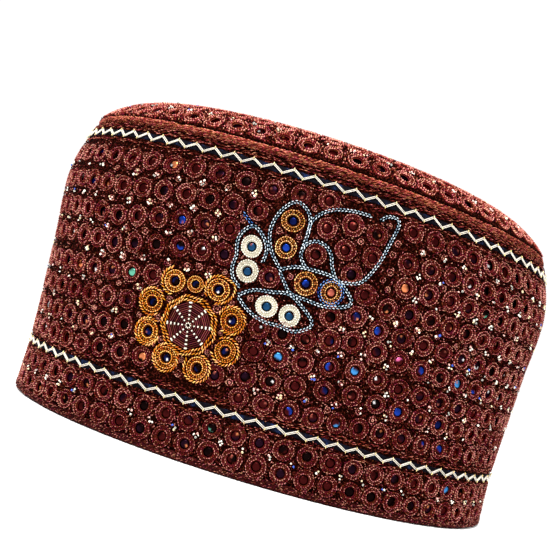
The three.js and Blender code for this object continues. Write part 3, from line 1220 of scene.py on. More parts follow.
@dataclass
class SequinField(Sewing):
    """A small domed sequin in the hole of every ring."""

    form: CapForm
    rings: RingField
    motif: Array  # places of the motifs' rings
    motif_tints: list[TintPair]  # the two tints of each of their sequins
    radius: float = 1.68
    motif_radius: float = 1.5
    sides: int = 8  # facets round it
    levels: Line = ((1.0, 0.02), (1.0, 0.12), (0.55, 0.24), (0.0, 0.28))  # radius share, height
    lean: float = 0.09  # how unevenly it lies
    glint: float = 0.6  # how far from the middle the painted glint on the lit part may start, as a share of the radius
    painted_highlights: float = 0.35  # share of the sequins with a painted highlight, a small bright spot
    glints: float = 0.06  # share of the sequins whose painted glint is in a rare colour
    blue: float = 0.06  # share of the sequins whose painted glint is blue, outside the blue areas
    blue_areas: tuple[BlueArea, ...] = (BlueArea(-8, 32, 24, 62, 0.4), BlueArea(0, 75, 18, 75, 0.13))
    seed: int = 23

    def build(self) -> None:
        """Builds the sequins of the maroon rings and of the motifs."""
        piece = PieceMesh()
        wall = self.rings.wall
        self._add(piece, self._tints(wall), self.radius, wall)
        self._add(piece, self.motif_tints, self.motif_radius, self.motif)
        crown = self.rings.crown
        self._add(piece, self._tints(crown), self.radius, crown, self.rings.crown_headings)
        piece.build("sequins", SEQUIN)

    def _tints(self, spots: Array) -> list[TintPair]:
        """Picks the colour of each sequin's painted glint, on its lit side, and of its other side.

        Args:
            spots: (n, 2) places of the sequins.

        Returns:
            The two tints of each sequin.
        """
        dark = (SequinTint.DARK, SequinTint.BROWN, SequinTint.BROWN, SequinTint.PURPLE)
        glints = (SequinTint.ROSE, SequinTint.GREEN, SequinTint.AMBER, SequinTint.PEARL, SequinTint.BLUE)
        blues = (SequinTint.BLUE, SequinTint.SKY, SequinTint.NAVY, SequinTint.BLUE)
        picked = []
        for spot in spots:
            blue = max([self.blue, *(area.share for area in self.blue_areas if area.holds(spot))])
            draw = self.draws.random()
            other = dark[self.draws.integers(len(dark))]
            family = blues if draw < blue else glints if draw < blue + self.glints else dark
            picked.append((family[self.draws.integers(len(family))], other))
        return picked

    def _add(self, piece: PieceMesh, tints: list[TintPair], radius: float, spots: Array,
             headings: Array | None = None) -> None:
        """Adds sequins at places.

        Args:
            piece: the piece they join.
            tints: the tint of each sequin's painted glint and of its other side.
            radius: radius of a sequin.
            spots: (n, 2) places on the wall, or (x, y) on the crown.
            headings: (n, 2) headings on the crown, or None on the wall.
        """
        draws = self.draws
        count = len(spots)
        angles = draws.uniform(0.0, FULL_TURN, (count, 1)) + FULL_TURN * np.arange(self.sides) / self.sides
        circle = around(1.0, angles)
        lean = draws.normal(0.0, self.lean, (count, 1, 2))
        rows = []
        for share, lift in self.levels:
            ring = radius * share * circle
            tilt = (ring * lean).sum(-1, keepdims=True)
            rows.append(np.concatenate([ring, lift + tilt], -1))
        rows[-1] = rows[-1][:, :1]
        points = np.concatenate(rows, 1)
        # A random side of each sequin takes the first tint as a painted glint; the rest takes the second.
        toward = draws.normal(0.0, 1.0, (count, 1, 2))
        edge = draws.uniform(-self.glint, self.glint, (count, 1))
        lit = (points[..., :2] * toward).sum(-1) > edge * radius
        pair = np.array([[linear(tint.value) for tint in both] for both in tints])
        colours = np.where(lit[..., None], pair[:, None, 0], pair[:, None, 1])
        # Some sequins get a painted highlight spot on one vertex of the dome's shoulder.
        painted_highlights = (SequinTint.PEARL, SequinTint.CLAY, SequinTint.AMBER, SequinTint.CLAY)
        highlight_tints = np.array([linear(tint.value) for tint in painted_highlights])
        highlighted = np.flatnonzero(draws.random(count) < self.painted_highlights)
        facet = 2 * self.sides + draws.integers(self.sides, size=len(highlighted))
        colours[highlighted, facet] = highlight_tints[draws.integers(len(painted_highlights), size=len(highlighted))]
        faces = copies(self._faces(), count, points.shape[1])
        piece.add(self.form.lay(points, spots, headings), faces, tint=colours)

    def _faces(self) -> Array:
        """Triangles of one sequin: its rim, its shoulder, its dome and its flat underside.

        Returns:
            (n, 3) triangles, the middle of the dome being the last vertex.
        """
        n = self.sides
        faces = []
        for i in range(n):
            j = (i + 1) % n
            for level in (0, n):
                faces.append((level + i, level + j, level + n + j))
                faces.append((level + i, level + n + j, level + n + i))
            faces.append((2 * n + i, 2 * n + j, 3 * n))
        faces += [(0, i + 1, i) for i in range(1, n - 1)]
        return np.array(faces)


@dataclass
class BeadField(Sewing):
    """Clusters of seed beads in the spaces between rings."""

    form: CapForm
    rings: RingField
    motif: Array  # places that the motifs take up
    radius: float = 0.44
    thick: float = 0.17  # half the thickness of its wall
    tall: float = 1.3  # how much taller than thick its wall is
    facets: tuple[int, int] = (6, 4)  # round a bead and round its wall
    spread: float = 0.66  # distance of a cluster's beads from its middle
    lift: float = 0.8  # height of a bead's middle above the cloth
    beads: int = 4  # most beads in a cluster
    kept: float = 0.7  # share of them that there are
    clear: float = 4.3  # least distance of a cluster from the middle of a ring
    crown_ease: float = 0.45  # how much nearer it may be on the crown
    pushes: int = 12  # times that a cluster is pushed away from the nearest ring
    push: float = 0.12
    share: float = 0.85  # share of the spaces that hold a cluster
    blue: float = 0.04  # share of the beads in blue, outside the blue area
    blue_area: BlueArea = BlueArea(-8, 40, 22, 50, 0.2)
    seed: int = 37

    def _spaces(self) -> Array:
        """Finds the middles of the spaces between rings on the wall and band.

        Returns:
            (n, 2) places.
        """
        guesses = []
        for rows in (self.rings.left_rows, self.rings.right_rows, self.rings.band_rows):
            for upper, lower in zip(rows[:-1], rows[1:]):
                halfway = (upper[:-1] + upper[1:]) / 2
                beneath = lower[np.abs(halfway[:, None, 0] - lower[None, :, 0]).argmin(1)]
                guesses.append(np.stack([halfway[:, 0], (halfway[:, 1] + beneath[:, 1]) / 2], 1))
        spots = np.concatenate(guesses)
        taken = self.rings.wall
        for _ in range(self.pushes):
            away = spots[:, None] - taken[None]
            nearest = np.linalg.norm(away, axis=2).argmin(1)
            spots = spots + self.push * unit(away[np.arange(len(spots)), nearest])
        return spots[(gaps(spots, taken) > self.clear) & (gaps(spots, self.motif) > self.clear)]

    def _crown_spaces(self) -> tuple[Array, Array]:
        """Finds the spaces between rings on the crown.

        Returns:
            (n, 2) places (x, y) and (n, 2) headings.
        """
        halfway, step, headings = [], [], []
        for (outer, heading), (inner, _) in zip(self.rings.crown_rows[:-1], self.rings.crown_rows[1:]):
            between = (outer + np.roll(outer, -1, axis=0)) / 2
            nearest = np.linalg.norm(between[:, None] - inner[None], axis=2).argmin(1)
            halfway.append(between)
            step.append(inner[nearest] - between)
            headings.append(heading)
        heading = np.concatenate(headings)
        shares = np.linspace(0.2, 0.6, 9)[:, None, None]
        tried = np.concatenate(halfway) + shares * np.concatenate(step)
        rings = self.form.crown_places(self.rings.crown, self.rings.crown_headings)
        room = np.stack([gaps(self.form.crown_places(spots, heading), rings) for spots in tried])
        spots = tried[room.argmax(0), np.arange(len(heading))]
        free = room.max(0) > self.clear - self.crown_ease
        return spots[free], heading[free]

    def build(self) -> None:
        """Builds all the clusters in one piece."""
        piece = PieceMesh()
        wall = self._spaces()
        self._add(piece, wall[self.draws.random(len(wall)) < self.share])
        spots, headings = self._crown_spaces()
        kept = self.draws.random(len(spots)) < self.share
        self._add(piece, spots[kept], headings[kept])
        piece.build("seed_bead_clusters", BEAD)

    def _bead(self) -> tuple[Array, Array]:
        """Shapes a bead, a thick ring with a hole.

        Returns:
            Its places, the hole along the third axis, and its triangles.
        """
        round_bead, round_wall = self.facets
        turns = FULL_TURN * np.arange(round_bead)[:, None] / round_bead
        angles = FULL_TURN * np.arange(round_wall)[None] / round_wall
        reach = self.radius - self.thick + self.thick * np.cos(angles)
        lift = self.tall * self.thick * np.sin(angles) + 0.0 * turns
        points = np.stack([reach * np.cos(turns), reach * np.sin(turns), lift], -1)
        return points.reshape(-1, 3), grid_faces(round_bead, round_wall)

    def _add(self, piece: PieceMesh, spots: Array, headings: Array | None = None) -> None:
        """Adds a cluster of beads at each place.

        Args:
            piece: the piece they join.
            spots: (n, 2) places on the wall, or (x, y) on the crown.
            headings: (n, 2) headings on the crown, or None on the wall.
        """
        draws = self.draws
        bead, faces = self._bead()
        size = (len(spots), self.beads)
        turn = draws.uniform(0.0, FULL_TURN, (len(spots), 1)) + FULL_TURN * np.arange(self.beads) / self.beads
        turn += draws.uniform(-0.4, 0.4, size)
        reach = self.spread * draws.uniform(0.6, 1.5, size)
        lift = self.lift + draws.uniform(-0.2, 0.2, size)
        middle = np.concatenate([around(reach, turn), lift[..., None]], -1)
        pole = unit(draws.normal(0.0, 0.7, (*size, 3)) + (0.0, 0.0, 1.0))
        first = unit(np.cross(pole, (0.31, 0.94, 0.14)))
        axes = np.stack([first, np.cross(pole, first), pole], -2)
        scale = draws.uniform(0.8, 1.12, (*size, 1, 1))
        points = middle[:, :, None] + scale * np.einsum("ka,cbad->cbkd", bead, axes)
        placed = self.form.lay(points.reshape(len(spots), -1, 3), spots, headings)
        kept = draws.random(self.beads * len(spots)) < self.kept
        placed = placed.reshape(len(kept), -1, 3)[kept]
        blue = np.where(self.blue_area.holds(spots), self.blue_area.share, self.blue)
        common = (BeadTint.WHITE, BeadTint.WHITE, BeadTint.IVORY, BeadTint.ROSE, BeadTint.GREY)
        picked = []
        for share in np.repeat(blue, self.beads)[kept]:
            usual = common[draws.integers(len(common))]
            picked.append(BeadTint.SKY if draws.random() < share else usual)
        tints = np.repeat(np.array([linear(tint.value) for tint in picked]), len(bead), axis=0)
        piece.add(placed, copies(faces, len(placed), len(bead)), tint=tints)


@dataclass
class FillingStitches(Sewing):
    """Short, dull stitches round the rings, and small knots in the wider spaces."""

    form: CapForm
    rings: RingField
    motif_rings: Array  # middles of the motifs' rings
    motif_lines: Array  # places along their lines
    near: float = 3.72  # least distance of a stitch from the middle of a ring
    far: float = 5.6  # greatest distance
    tries: int = 38  # stitches tried round each ring
    length: float = 1.25
    half: float = 0.22
    rise: float = 0.8
    seat: float = 0.1
    wobble: float = 0.5  # how unevenly the stitches are turned
    bright: float = 1.3  # tone of the brightest stitch
    dull: float = 1.4  # how rare bright stitches are
    line_clear: float = 1.0  # least distance of a stitch from a motif's line
    ease: float = 0.02  # how much nearer to a ring than that it may be
    crown_ease: float = 0.15  # and on the crown
    crown_clear: float = 0.3  # least height of a stitch above the crown's edge
    crown_tries: int = 52  # stitches tried round each of the crown's rings
    knot: RingStitch = RingStitch(
        outer=1.1, inner=0.45, outer_links=9, inner_links=5, bars=0, strand=0.3, rise=0.85, bed=0.0,
    )
    knot_clear: float = 5.3  # least distance of a knot from the middle of a ring
    knot_line_clear: float = 2.3  # least distance of a knot from a motif's line
    knot_apart: float = 3.3  # least distance between knots
    knot_low: float = 27.0
    knot_high: float = 95.0
    knot_reach: float = 75.0  # how far to either side of the front knots go
    knot_step: float = 0.8  # how finely their places are searched
    seed: int = 53

    def build(self) -> None:
        """Builds the stitches of wall, band and crown, and the knots."""
        wall = np.concatenate([self.rings.wall, self.motif_rings])
        knots = self._knot_places(wall)
        spots, turns = self._wall_places(wall, np.concatenate([self.motif_lines, knots]))
        points, tones = self._worked(spots, turns)
        PieceMesh().sew(self.form.on_wall(points), tones).build("filling_stitches", FILLING)
        spots, turns, owners = self._crown_places()
        points, tones = self._worked(spots, turns)
        placed = self.form.on_crown(points, self.rings.crown[owners], self.rings.crown_headings[owners])
        # The crown's stitches take the maroon thread painted lighter as light from above.
        PieceMesh().sew(placed, tones).build("filling_crown", LIT_CROWN)
        points, tones, faces = self.knot.worked(len(knots), self.draws)
        points[..., :2] *= self.draws.uniform(0.8, 1.25, (len(knots), 1, 1))
        PieceMesh().add(self.form.lay(points, knots), faces, tone=tones).build("filling_knots", FILLING)

    def _knot_places(self, rings: Array) -> Array:
        """Finds places for knots, the most open first.

        Args:
            rings: (n, 2) middles of the rings.

        Returns:
            (k, 2) places.
        """
        along = np.arange(-self.knot_reach, self.knot_reach, self.knot_step)
        found = []
        for height in np.arange(self.knot_low, self.knot_high, self.knot_step):
            spots = np.stack([along, np.full(len(along), height)], 1)
            ring_gap = gaps(spots, rings)
            line_gap = gaps(spots, self.motif_lines)
            open_here = (ring_gap > self.knot_clear) & (line_gap > self.knot_line_clear)
            found.append(np.column_stack([ring_gap, spots])[open_here])
        candidates = np.concatenate(found)
        kept: list[Array] = []
        for spot in candidates[np.argsort(-candidates[:, 0]), 1:]:
            if all(np.linalg.norm(spot - other) > self.knot_apart for other in kept):
                kept.append(spot)
        return np.array(kept)

    def _wall_places(self, rings: Array, lines: Array) -> tuple[Array, Array]:
        """Picks free places round the wall's rings.

        Args:
            rings: (n, 2) middles of the rings.
            lines: (m, 2) places to keep a little clear of.

        Returns:
            Places of the stitches and the turns that they lie at.
        """
        angles = self.draws.uniform(0.0, FULL_TURN, (len(rings), self.tries))
        reach = self.draws.uniform(self.near, self.far, angles.shape)
        spots = (rings[:, None] + around(reach, angles)).reshape(-1, 2)
        free = (gaps(spots, rings) > self.near - self.ease) & (gaps(spots, lines) > self.line_clear)
        turns = angles.ravel() + math.pi / 2 + self.draws.normal(0.0, self.wobble, len(spots))
        return spots[free], turns[free]

    def _crown_places(self) -> tuple[Array, Array, Array]:
        """Picks free places round the crown's rings.

        Returns:
            Places of the stitches from a ring's middle, their turns, and the number of that ring.
        """
        crown, headings = self.rings.crown, self.rings.crown_headings
        angles = self.draws.uniform(0.0, FULL_TURN, (len(crown), self.crown_tries))
        reach = self.draws.uniform(self.near, self.far, angles.shape)
        local = np.concatenate([around(reach, angles), np.zeros((*reach.shape, 1))], -1)
        spots = self.form.on_crown(local, crown, headings).reshape(-1, 3)
        clear_of_rings = gaps(spots, self.form.crown_places(crown, headings)) > self.near - self.crown_ease
        free = clear_of_rings & (spots[:, 2] > self.form.crown_edge + self.crown_clear)
        turns = angles.ravel() + math.pi / 2 + self.draws.normal(0.0, self.wobble, len(spots))
        owners = np.repeat(np.arange(len(crown)), self.crown_tries)
        return local[..., :2].reshape(-1, 2)[free], turns[free], owners[free]

    def _worked(self, spots: Array, turns: Array) -> Worked:
        """Works the stitches, most of them dull.

        Args:
            spots: (n, 2) middles of the stitches.
            turns: (n,) turns that they lie at.

        Returns:
            The stitches.
        """
        half = around(self.length / 2, turns)
        shade = self.bright * self.draws.uniform(0.0, 1.0, len(spots)) ** self.dull
        return stitches(spots - half, spots + half, self.half, self.rise, self.seat, shade)


@dataclass
class GroundCloth:
    """The padded cloth of wall and crown that carries the stitching."""

    form: CapForm
    around_cap: int = 216  # facets round the cap
    wall_levels: int = 26  # facets up the wall
    crown_levels: int = 16  # facets from the crown's edge to its middle
    crown_middle: float = 0.06  # where the crown's last ring of facets ends, before its middle

    def build(self) -> None:
        """Builds the wall's cloth and the crown's cloth."""
        self._wall()
        self._crown()

    def _wall(self) -> None:
        """Builds the wall: out, over its top edge, and down the inside."""
        heights = np.linspace(self.form.wall_bottom, self.form.wall_top, self.wall_levels)
        outer = [(self.form.wall_half_width(z), z, 0.0) for z in heights]
        inner = [(self.form.wall_half_width(z) - self.form.cloth, z, 1.0) for z in heights[::-1]]
        half_widths, levels, tones = np.array([*outer, *inner]).T
        turns = np.linspace(0.0, FULL_TURN, self.around_cap, endpoint=False)[:, None]
        points = self.form.round_oval(turns, half_widths, levels)
        places = np.stack(np.broadcast_arrays(self.form.half_width * turns, levels), -1)
        faces = grid_faces(self.around_cap, len(levels))
        piece = PieceMesh().add(points, faces, tone=np.tile(tones, self.around_cap), cloth_place=places)
        piece.build("wall_cloth", GROUND, "side_wall")

    def _crown(self) -> None:
        """Builds the crown: a domed sheet, its edge, and its underside."""
        form = self.form
        edge = np.sin(np.linspace(math.pi / 2, self.crown_middle, self.crown_levels))
        outer = [(share, 0.0, 0.0) for share in edge]
        inset = form.cloth / form.crown_half_width
        inner = [((1 - inset) * share, form.cloth, 1.0) for share in edge[::-1]]
        shares, depths, tones = np.array([*inner, *outer]).T
        size = len(shares)
        turns = np.linspace(0.0, FULL_TURN, self.around_cap, endpoint=False)[:, None]
        plan = oval(form.crown_half_width * shares, form.crown_half_depth * shares, turns)
        level = np.maximum(form.crown_height(plan) - depths, form.crown_edge)
        points = form.settled(np.concatenate([plan, level[..., None]], -1)).reshape(-1, 3)
        top = form.crown_edge + form.crown_rise
        poles = form.settled(np.array([[0.0, 0.0, top - form.cloth], [0.0, 0.0, top]]))
        under_rim = size * np.arange(self.around_cap)
        top_rim = under_rim + size - 1
        under_pole = np.full(self.around_cap, len(points))
        faces = np.concatenate([
            grid_faces(self.around_cap, size, closed=False),
            np.stack([under_pole, np.roll(under_rim, -1), under_rim], 1),
            np.stack([under_pole + 1, top_rim, np.roll(top_rim, -1)], 1),
        ])
        points = np.concatenate([points, poles])
        tones = np.concatenate([np.tile(tones, self.around_cap), [1.0, 0.0]])
        places = np.concatenate([plan.reshape(-1, 2), np.zeros((2, 2))])
        piece = PieceMesh().add(points, faces, tone=tones, cloth_place=places)
        piece.build("crown_cloth", GROUND, "crown")


@dataclass(frozen=True)
class ThreadBand:
    """A band round the wall, filled with short, nearly level stitches."""

    low: float
    high: float
    density: float = 1.2  # stitches to the square millimetre
    length: float = 2.4
    half: float = 0.18
    rise: float = 0.7
    seat: float = 0.1
    slope: float = 0.14  # how far the stitches climb, as a share of their length

    def worked(self, girth: float, draws: Draws) -> Worked:
        """Works the band.

        Args:
            girth: distance once round the wall.
            draws: where the differences come from.

        Returns:
            The stitches.
        """
        count = round(self.density * girth * (self.high - self.low))
        along = girth * (np.arange(count) + draws.uniform(-0.5, 0.5, count)) / count
        middle = np.stack([along, draws.uniform(self.low, self.high, count)], 1)
        climb = self.slope * draws.normal(1.0, 0.7, count).clip(-0.8, 1.7)
        half = self.length / 2 * draws.uniform(0.7, 1.2, (count, 1)) * np.stack([np.ones(count), climb], 1)
        shade = draws.uniform(0.0, 1.15, count)
        return stitches(middle - half, middle + half, self.half, self.rise, self.seat, shade)


@dataclass
class RopeLines(Sewing):
    """Bands of thread that run round the wall beside the zigzags, and the corded seam at the back."""

    form: CapForm
    bands: tuple[ThreadBand, ...] = (
        ThreadBand(16.7, 17.7), ThreadBand(21.6, 23.4), ThreadBand(97.2, 98.3), ThreadBand(101.9, 104.3),
    )
    rope: RopeStitch = RopeStitch()  # how the seam is worked
    seam_low: float = 24.4
    seam_high: float = 96.6
    seed: int = 61

    def build(self) -> None:
        """Builds the bands and the seam in one piece."""
        piece = PieceMesh()
        for band in self.bands:
            points, tones = band.worked(self.form.girth, self.draws)
            piece.sew(self.form.on_wall(points), tones)
        back = self.form.girth / 2
        line = smooth_line(((back, self.seam_low), (back, self.seam_high)), self.rope.step)
        points, tones = self.rope.along(line, self.draws)
        piece.sew(self.form.on_wall(points), tones, LONG_STITCH)
        piece.build("rope_lines", ROPE)


@dataclass
class ZigzagLine(Sewing):
    """One zigzag: a dark ribbon, long ivory stitches over it, and small stitches that hold its corners."""

    form: CapForm
    name: str  # name of the line and of the CAD node that it stands for
    height: float  # height of its middle
    teeth: int  # teeth round the cap
    swing: float  # height of a tooth
    ribbon: float = 1.2  # half width of the ribbon
    columns: int = 480  # facets along the ribbon
    strand: float = 0.19  # half width of one of the two ivory strands
    rise: float = 0.75
    seat: float = 0.3
    past: float = 0.32  # how far they go past a corner
    shares: Shares = (0.12, 0.5, 0.88)
    hold: float = 0.2  # half width of a holding stitch
    hold_rise: float = 0.55
    hold_seat: float = 0.55  # where it lies, as a share of the strands' rise
    seed: int = 71

    def build(self) -> None:
        """Builds the ribbon, the line and its holding stitches."""
        index = np.arange(2 * self.teeth + 1)
        along = (index - self.teeth) * self.form.girth / (2 * self.teeth)
        height = self.height + np.where(index % 2 == 0, -0.5, 0.5) * self.swing
        corners = np.stack([along, height + self.draws.normal(0.0, 0.08, len(index))], 1)
        corners[-1, 1] = corners[0, 1]
        self._ribbon()
        self._line(corners)
        self._couching(corners)

    def _ribbon(self) -> None:
        """Builds the ribbon, a thin closed strip with an edge that wavers a little."""
        along = self.form.girth * np.arange(self.columns) / self.columns
        waver = 0.12 * np.sin(along * 0.9) + 0.08 * np.sin(along * 0.37)
        section = ((-1.0, 0.02), (-1.0, 0.16), (-0.6, 0.26), (0.6, 0.26), (1.0, 0.16), (1.0, 0.02))
        shares, lifts = np.array(section).T
        flat = np.zeros((self.columns, len(section), 3))
        flat[..., 0] = along[:, None]
        flat[..., 1] = self.height + shares * (self.ribbon + waver)[:, None]
        flat[..., 2] = lifts
        faces = grid_faces(self.columns, len(section))
        piece = PieceMesh().add(self.form.on_wall(flat), faces, cloth_place=flat[..., :2])
        piece.build(f"{self.name}_ribbon", RIBBON)

    def _line(self, corners: Array) -> None:
        """Builds the ivory line.

        Args:
            corners: (n, 2) corners of the zigzag.
        """
        run = unit(corners[1:] - corners[:-1])
        piece = PieceMesh()
        for way in (-1.0, 1.0):
            offset = way * 1.1 * self.strand * sideways(run)
            start = corners[:-1] - self.past * run + offset
            end = corners[1:] + self.past * run + offset
            shade = self.draws.uniform(0.75, 1.05, len(start))
            points, tones = stitches(start, end, self.strand, self.rise, self.seat, shade, self.shares)
            piece.sew(self.form.on_wall(points), tones, self.shares)
        piece.build(f"{self.name}_line", IVORY, self.name)

    def _couching(self, corners: Array) -> None:
        """Builds a small stitch across each corner.

        Args:
            corners: (n, 2) corners of the zigzag.
        """
        out = np.where(np.arange(len(corners) - 1) % 2 == 0, -1.0, 1.0)
        lean = self.draws.normal(0.0, 0.12, len(out))
        start = corners[:-1] + np.stack([lean, 0.75 * out], 1)
        end = corners[:-1] + np.stack([-lean, -0.35 * out], 1)
        shade = self.draws.uniform(0.5, 1.0, len(start))
        seat = self.seat + self.hold_seat * self.rise
        points, tones = stitches(start, end, self.hold, self.hold_rise, seat, shade, LONG_STITCH)
        piece = PieceMesh().sew(self.form.on_wall(points), tones, LONG_STITCH)
        piece.build(f"{self.name}_couching", COUCHING)


@dataclass
class CrownPiping(Sewing):
    """Cord in the crown's seam, wrapped in long slanting fibres."""

    form: CapForm
    half_width: float = 92.3  # half width of the ring that the cord follows
    height: float = 106.0
    radius: float = 1.7
    facets: tuple[int, int] = (300, 8)  # along the core and round it
    sunk: float = -0.35  # how far the core and the fibres' feet lie below the cord's radius
    # The core is dark: painted shade that shows between the fibres.
    core_tone: float = 0.15
    fibres: int = 7600  # fibres round the cap
    reach: float = 2.6  # length of a fibre along the cord
    wrap: float = 0.6  # how far round the cord a fibre goes
    band: Place = (-1.5, 1.7)  # between which lines round the cord the fibres lie
    half: float = 0.14
    rise: float = 0.5
    seed: int = 83

    def build(self) -> None:
        """Builds the core and its fibres in one piece."""
        columns, sides = self.facets
        flat = np.zeros((columns, sides, 3))
        flat[..., 0] = (self.form.girth * np.arange(columns) / columns)[:, None]
        flat[..., 1] = FULL_TURN * self.radius * np.arange(sides) / sides
        flat[..., 2] = self.sunk
        core_tones = np.full(columns * sides, self.core_tone)
        piece = PieceMesh().add(self._on_cord(flat), grid_faces(columns, sides), tone=core_tones)
        along = self.form.girth * np.arange(self.fibres) / self.fibres
        middle = np.stack([along, self.draws.uniform(*self.band, self.fibres)], 1)
        half = np.array([self.reach / 2, self.wrap / 2]) * self.draws.uniform(0.75, 1.2, (self.fibres, 1))
        shade = self.draws.uniform(0.0, 1.1, self.fibres)
        points, tones = stitches(middle - half, middle + half, self.half, self.rise, self.sunk, shade)
        piece.sew(self._on_cord(points), tones)
        piece.build("crown_piping_cord", PIPING, "crown_piping")

    def _on_cord(self, local: Array) -> Array:
        """Lays flat patterns on the cord.

        Args:
            local: (..., 3) places along the cord, round it from its outermost line, and out.

        Returns:
            (..., 3) places on the settled cap.
        """
        angle = local[..., 1] / self.radius
        reach = self.radius + local[..., 2]
        turn = self.form.turn_at(local[..., 0])
        height = self.height + reach * np.sin(angle)
        return self.form.round_oval(turn, self.half_width, height, reach * np.cos(angle))


@dataclass
class HemBinding(Sewing):
    """The thick braided edge that the cap stands on."""

    form: CapForm
    height: float = 2.9
    corner: float = 0.8  # how round it is
    bulge: float = 0.4  # how far it stands out from the wall
    columns: int = 360  # facets round the cap
    thread: ThreadBand = ThreadBand(
        low=0.8, high=2.8, density=2.6, length=1.5, half=0.2, rise=0.75, seat=0.3, slope=0.4,
    )
    seed: int = 97

    def build(self) -> None:
        """Builds the core of the binding and the thread over it."""
        rim = float(self.form.wall_half_width(np.array(0.0)))
        inner = rim - self.form.cloth
        outer = rim + self.bulge
        half_widths, levels = np.array([
            (outer - self.corner, 0.0), (outer, self.corner), (outer, self.height - self.corner),
            (outer - self.corner, self.height), (inner, self.height), (inner, 0.0),
        ]).T
        turns = np.linspace(0.0, FULL_TURN, self.columns, endpoint=False)[:, None]
        core = self.form.round_oval(turns, half_widths, levels)
        # The core is dark, painted shade that shows between the threads, with a ripple in tone round the cap.
        core_tones = 0.08 + 0.06 * np.sin(170 * turns) + np.zeros(len(levels))
        piece = PieceMesh().add(core, grid_faces(self.columns, len(levels)), tone=core_tones)
        points, tones = self.thread.worked(self.form.girth, self.draws)
        piece.sew(self.form.on_wall(points), tones)
        piece.build("hem_braid", HEM, "hem_binding")


GOLD_RING = RingStitch(
    outer=3.6, inner=2.2, outer_links=26, inner_links=20, bars=20, strand=0.3, bar=0.26, rise=1.15,
    bar_share=0.75, uneven=0.6, bed_tone=0.0,
)


@dataclass(frozen=True)
class Petal:
    """A ring of the flower, and the cord round it."""

    along: float
    height: float
    radius: float = 3.95
    first: float = -140.0  # where the cord starts, in degrees from outwards
    last: float = 140.0  # where it ends, or the same for no cord


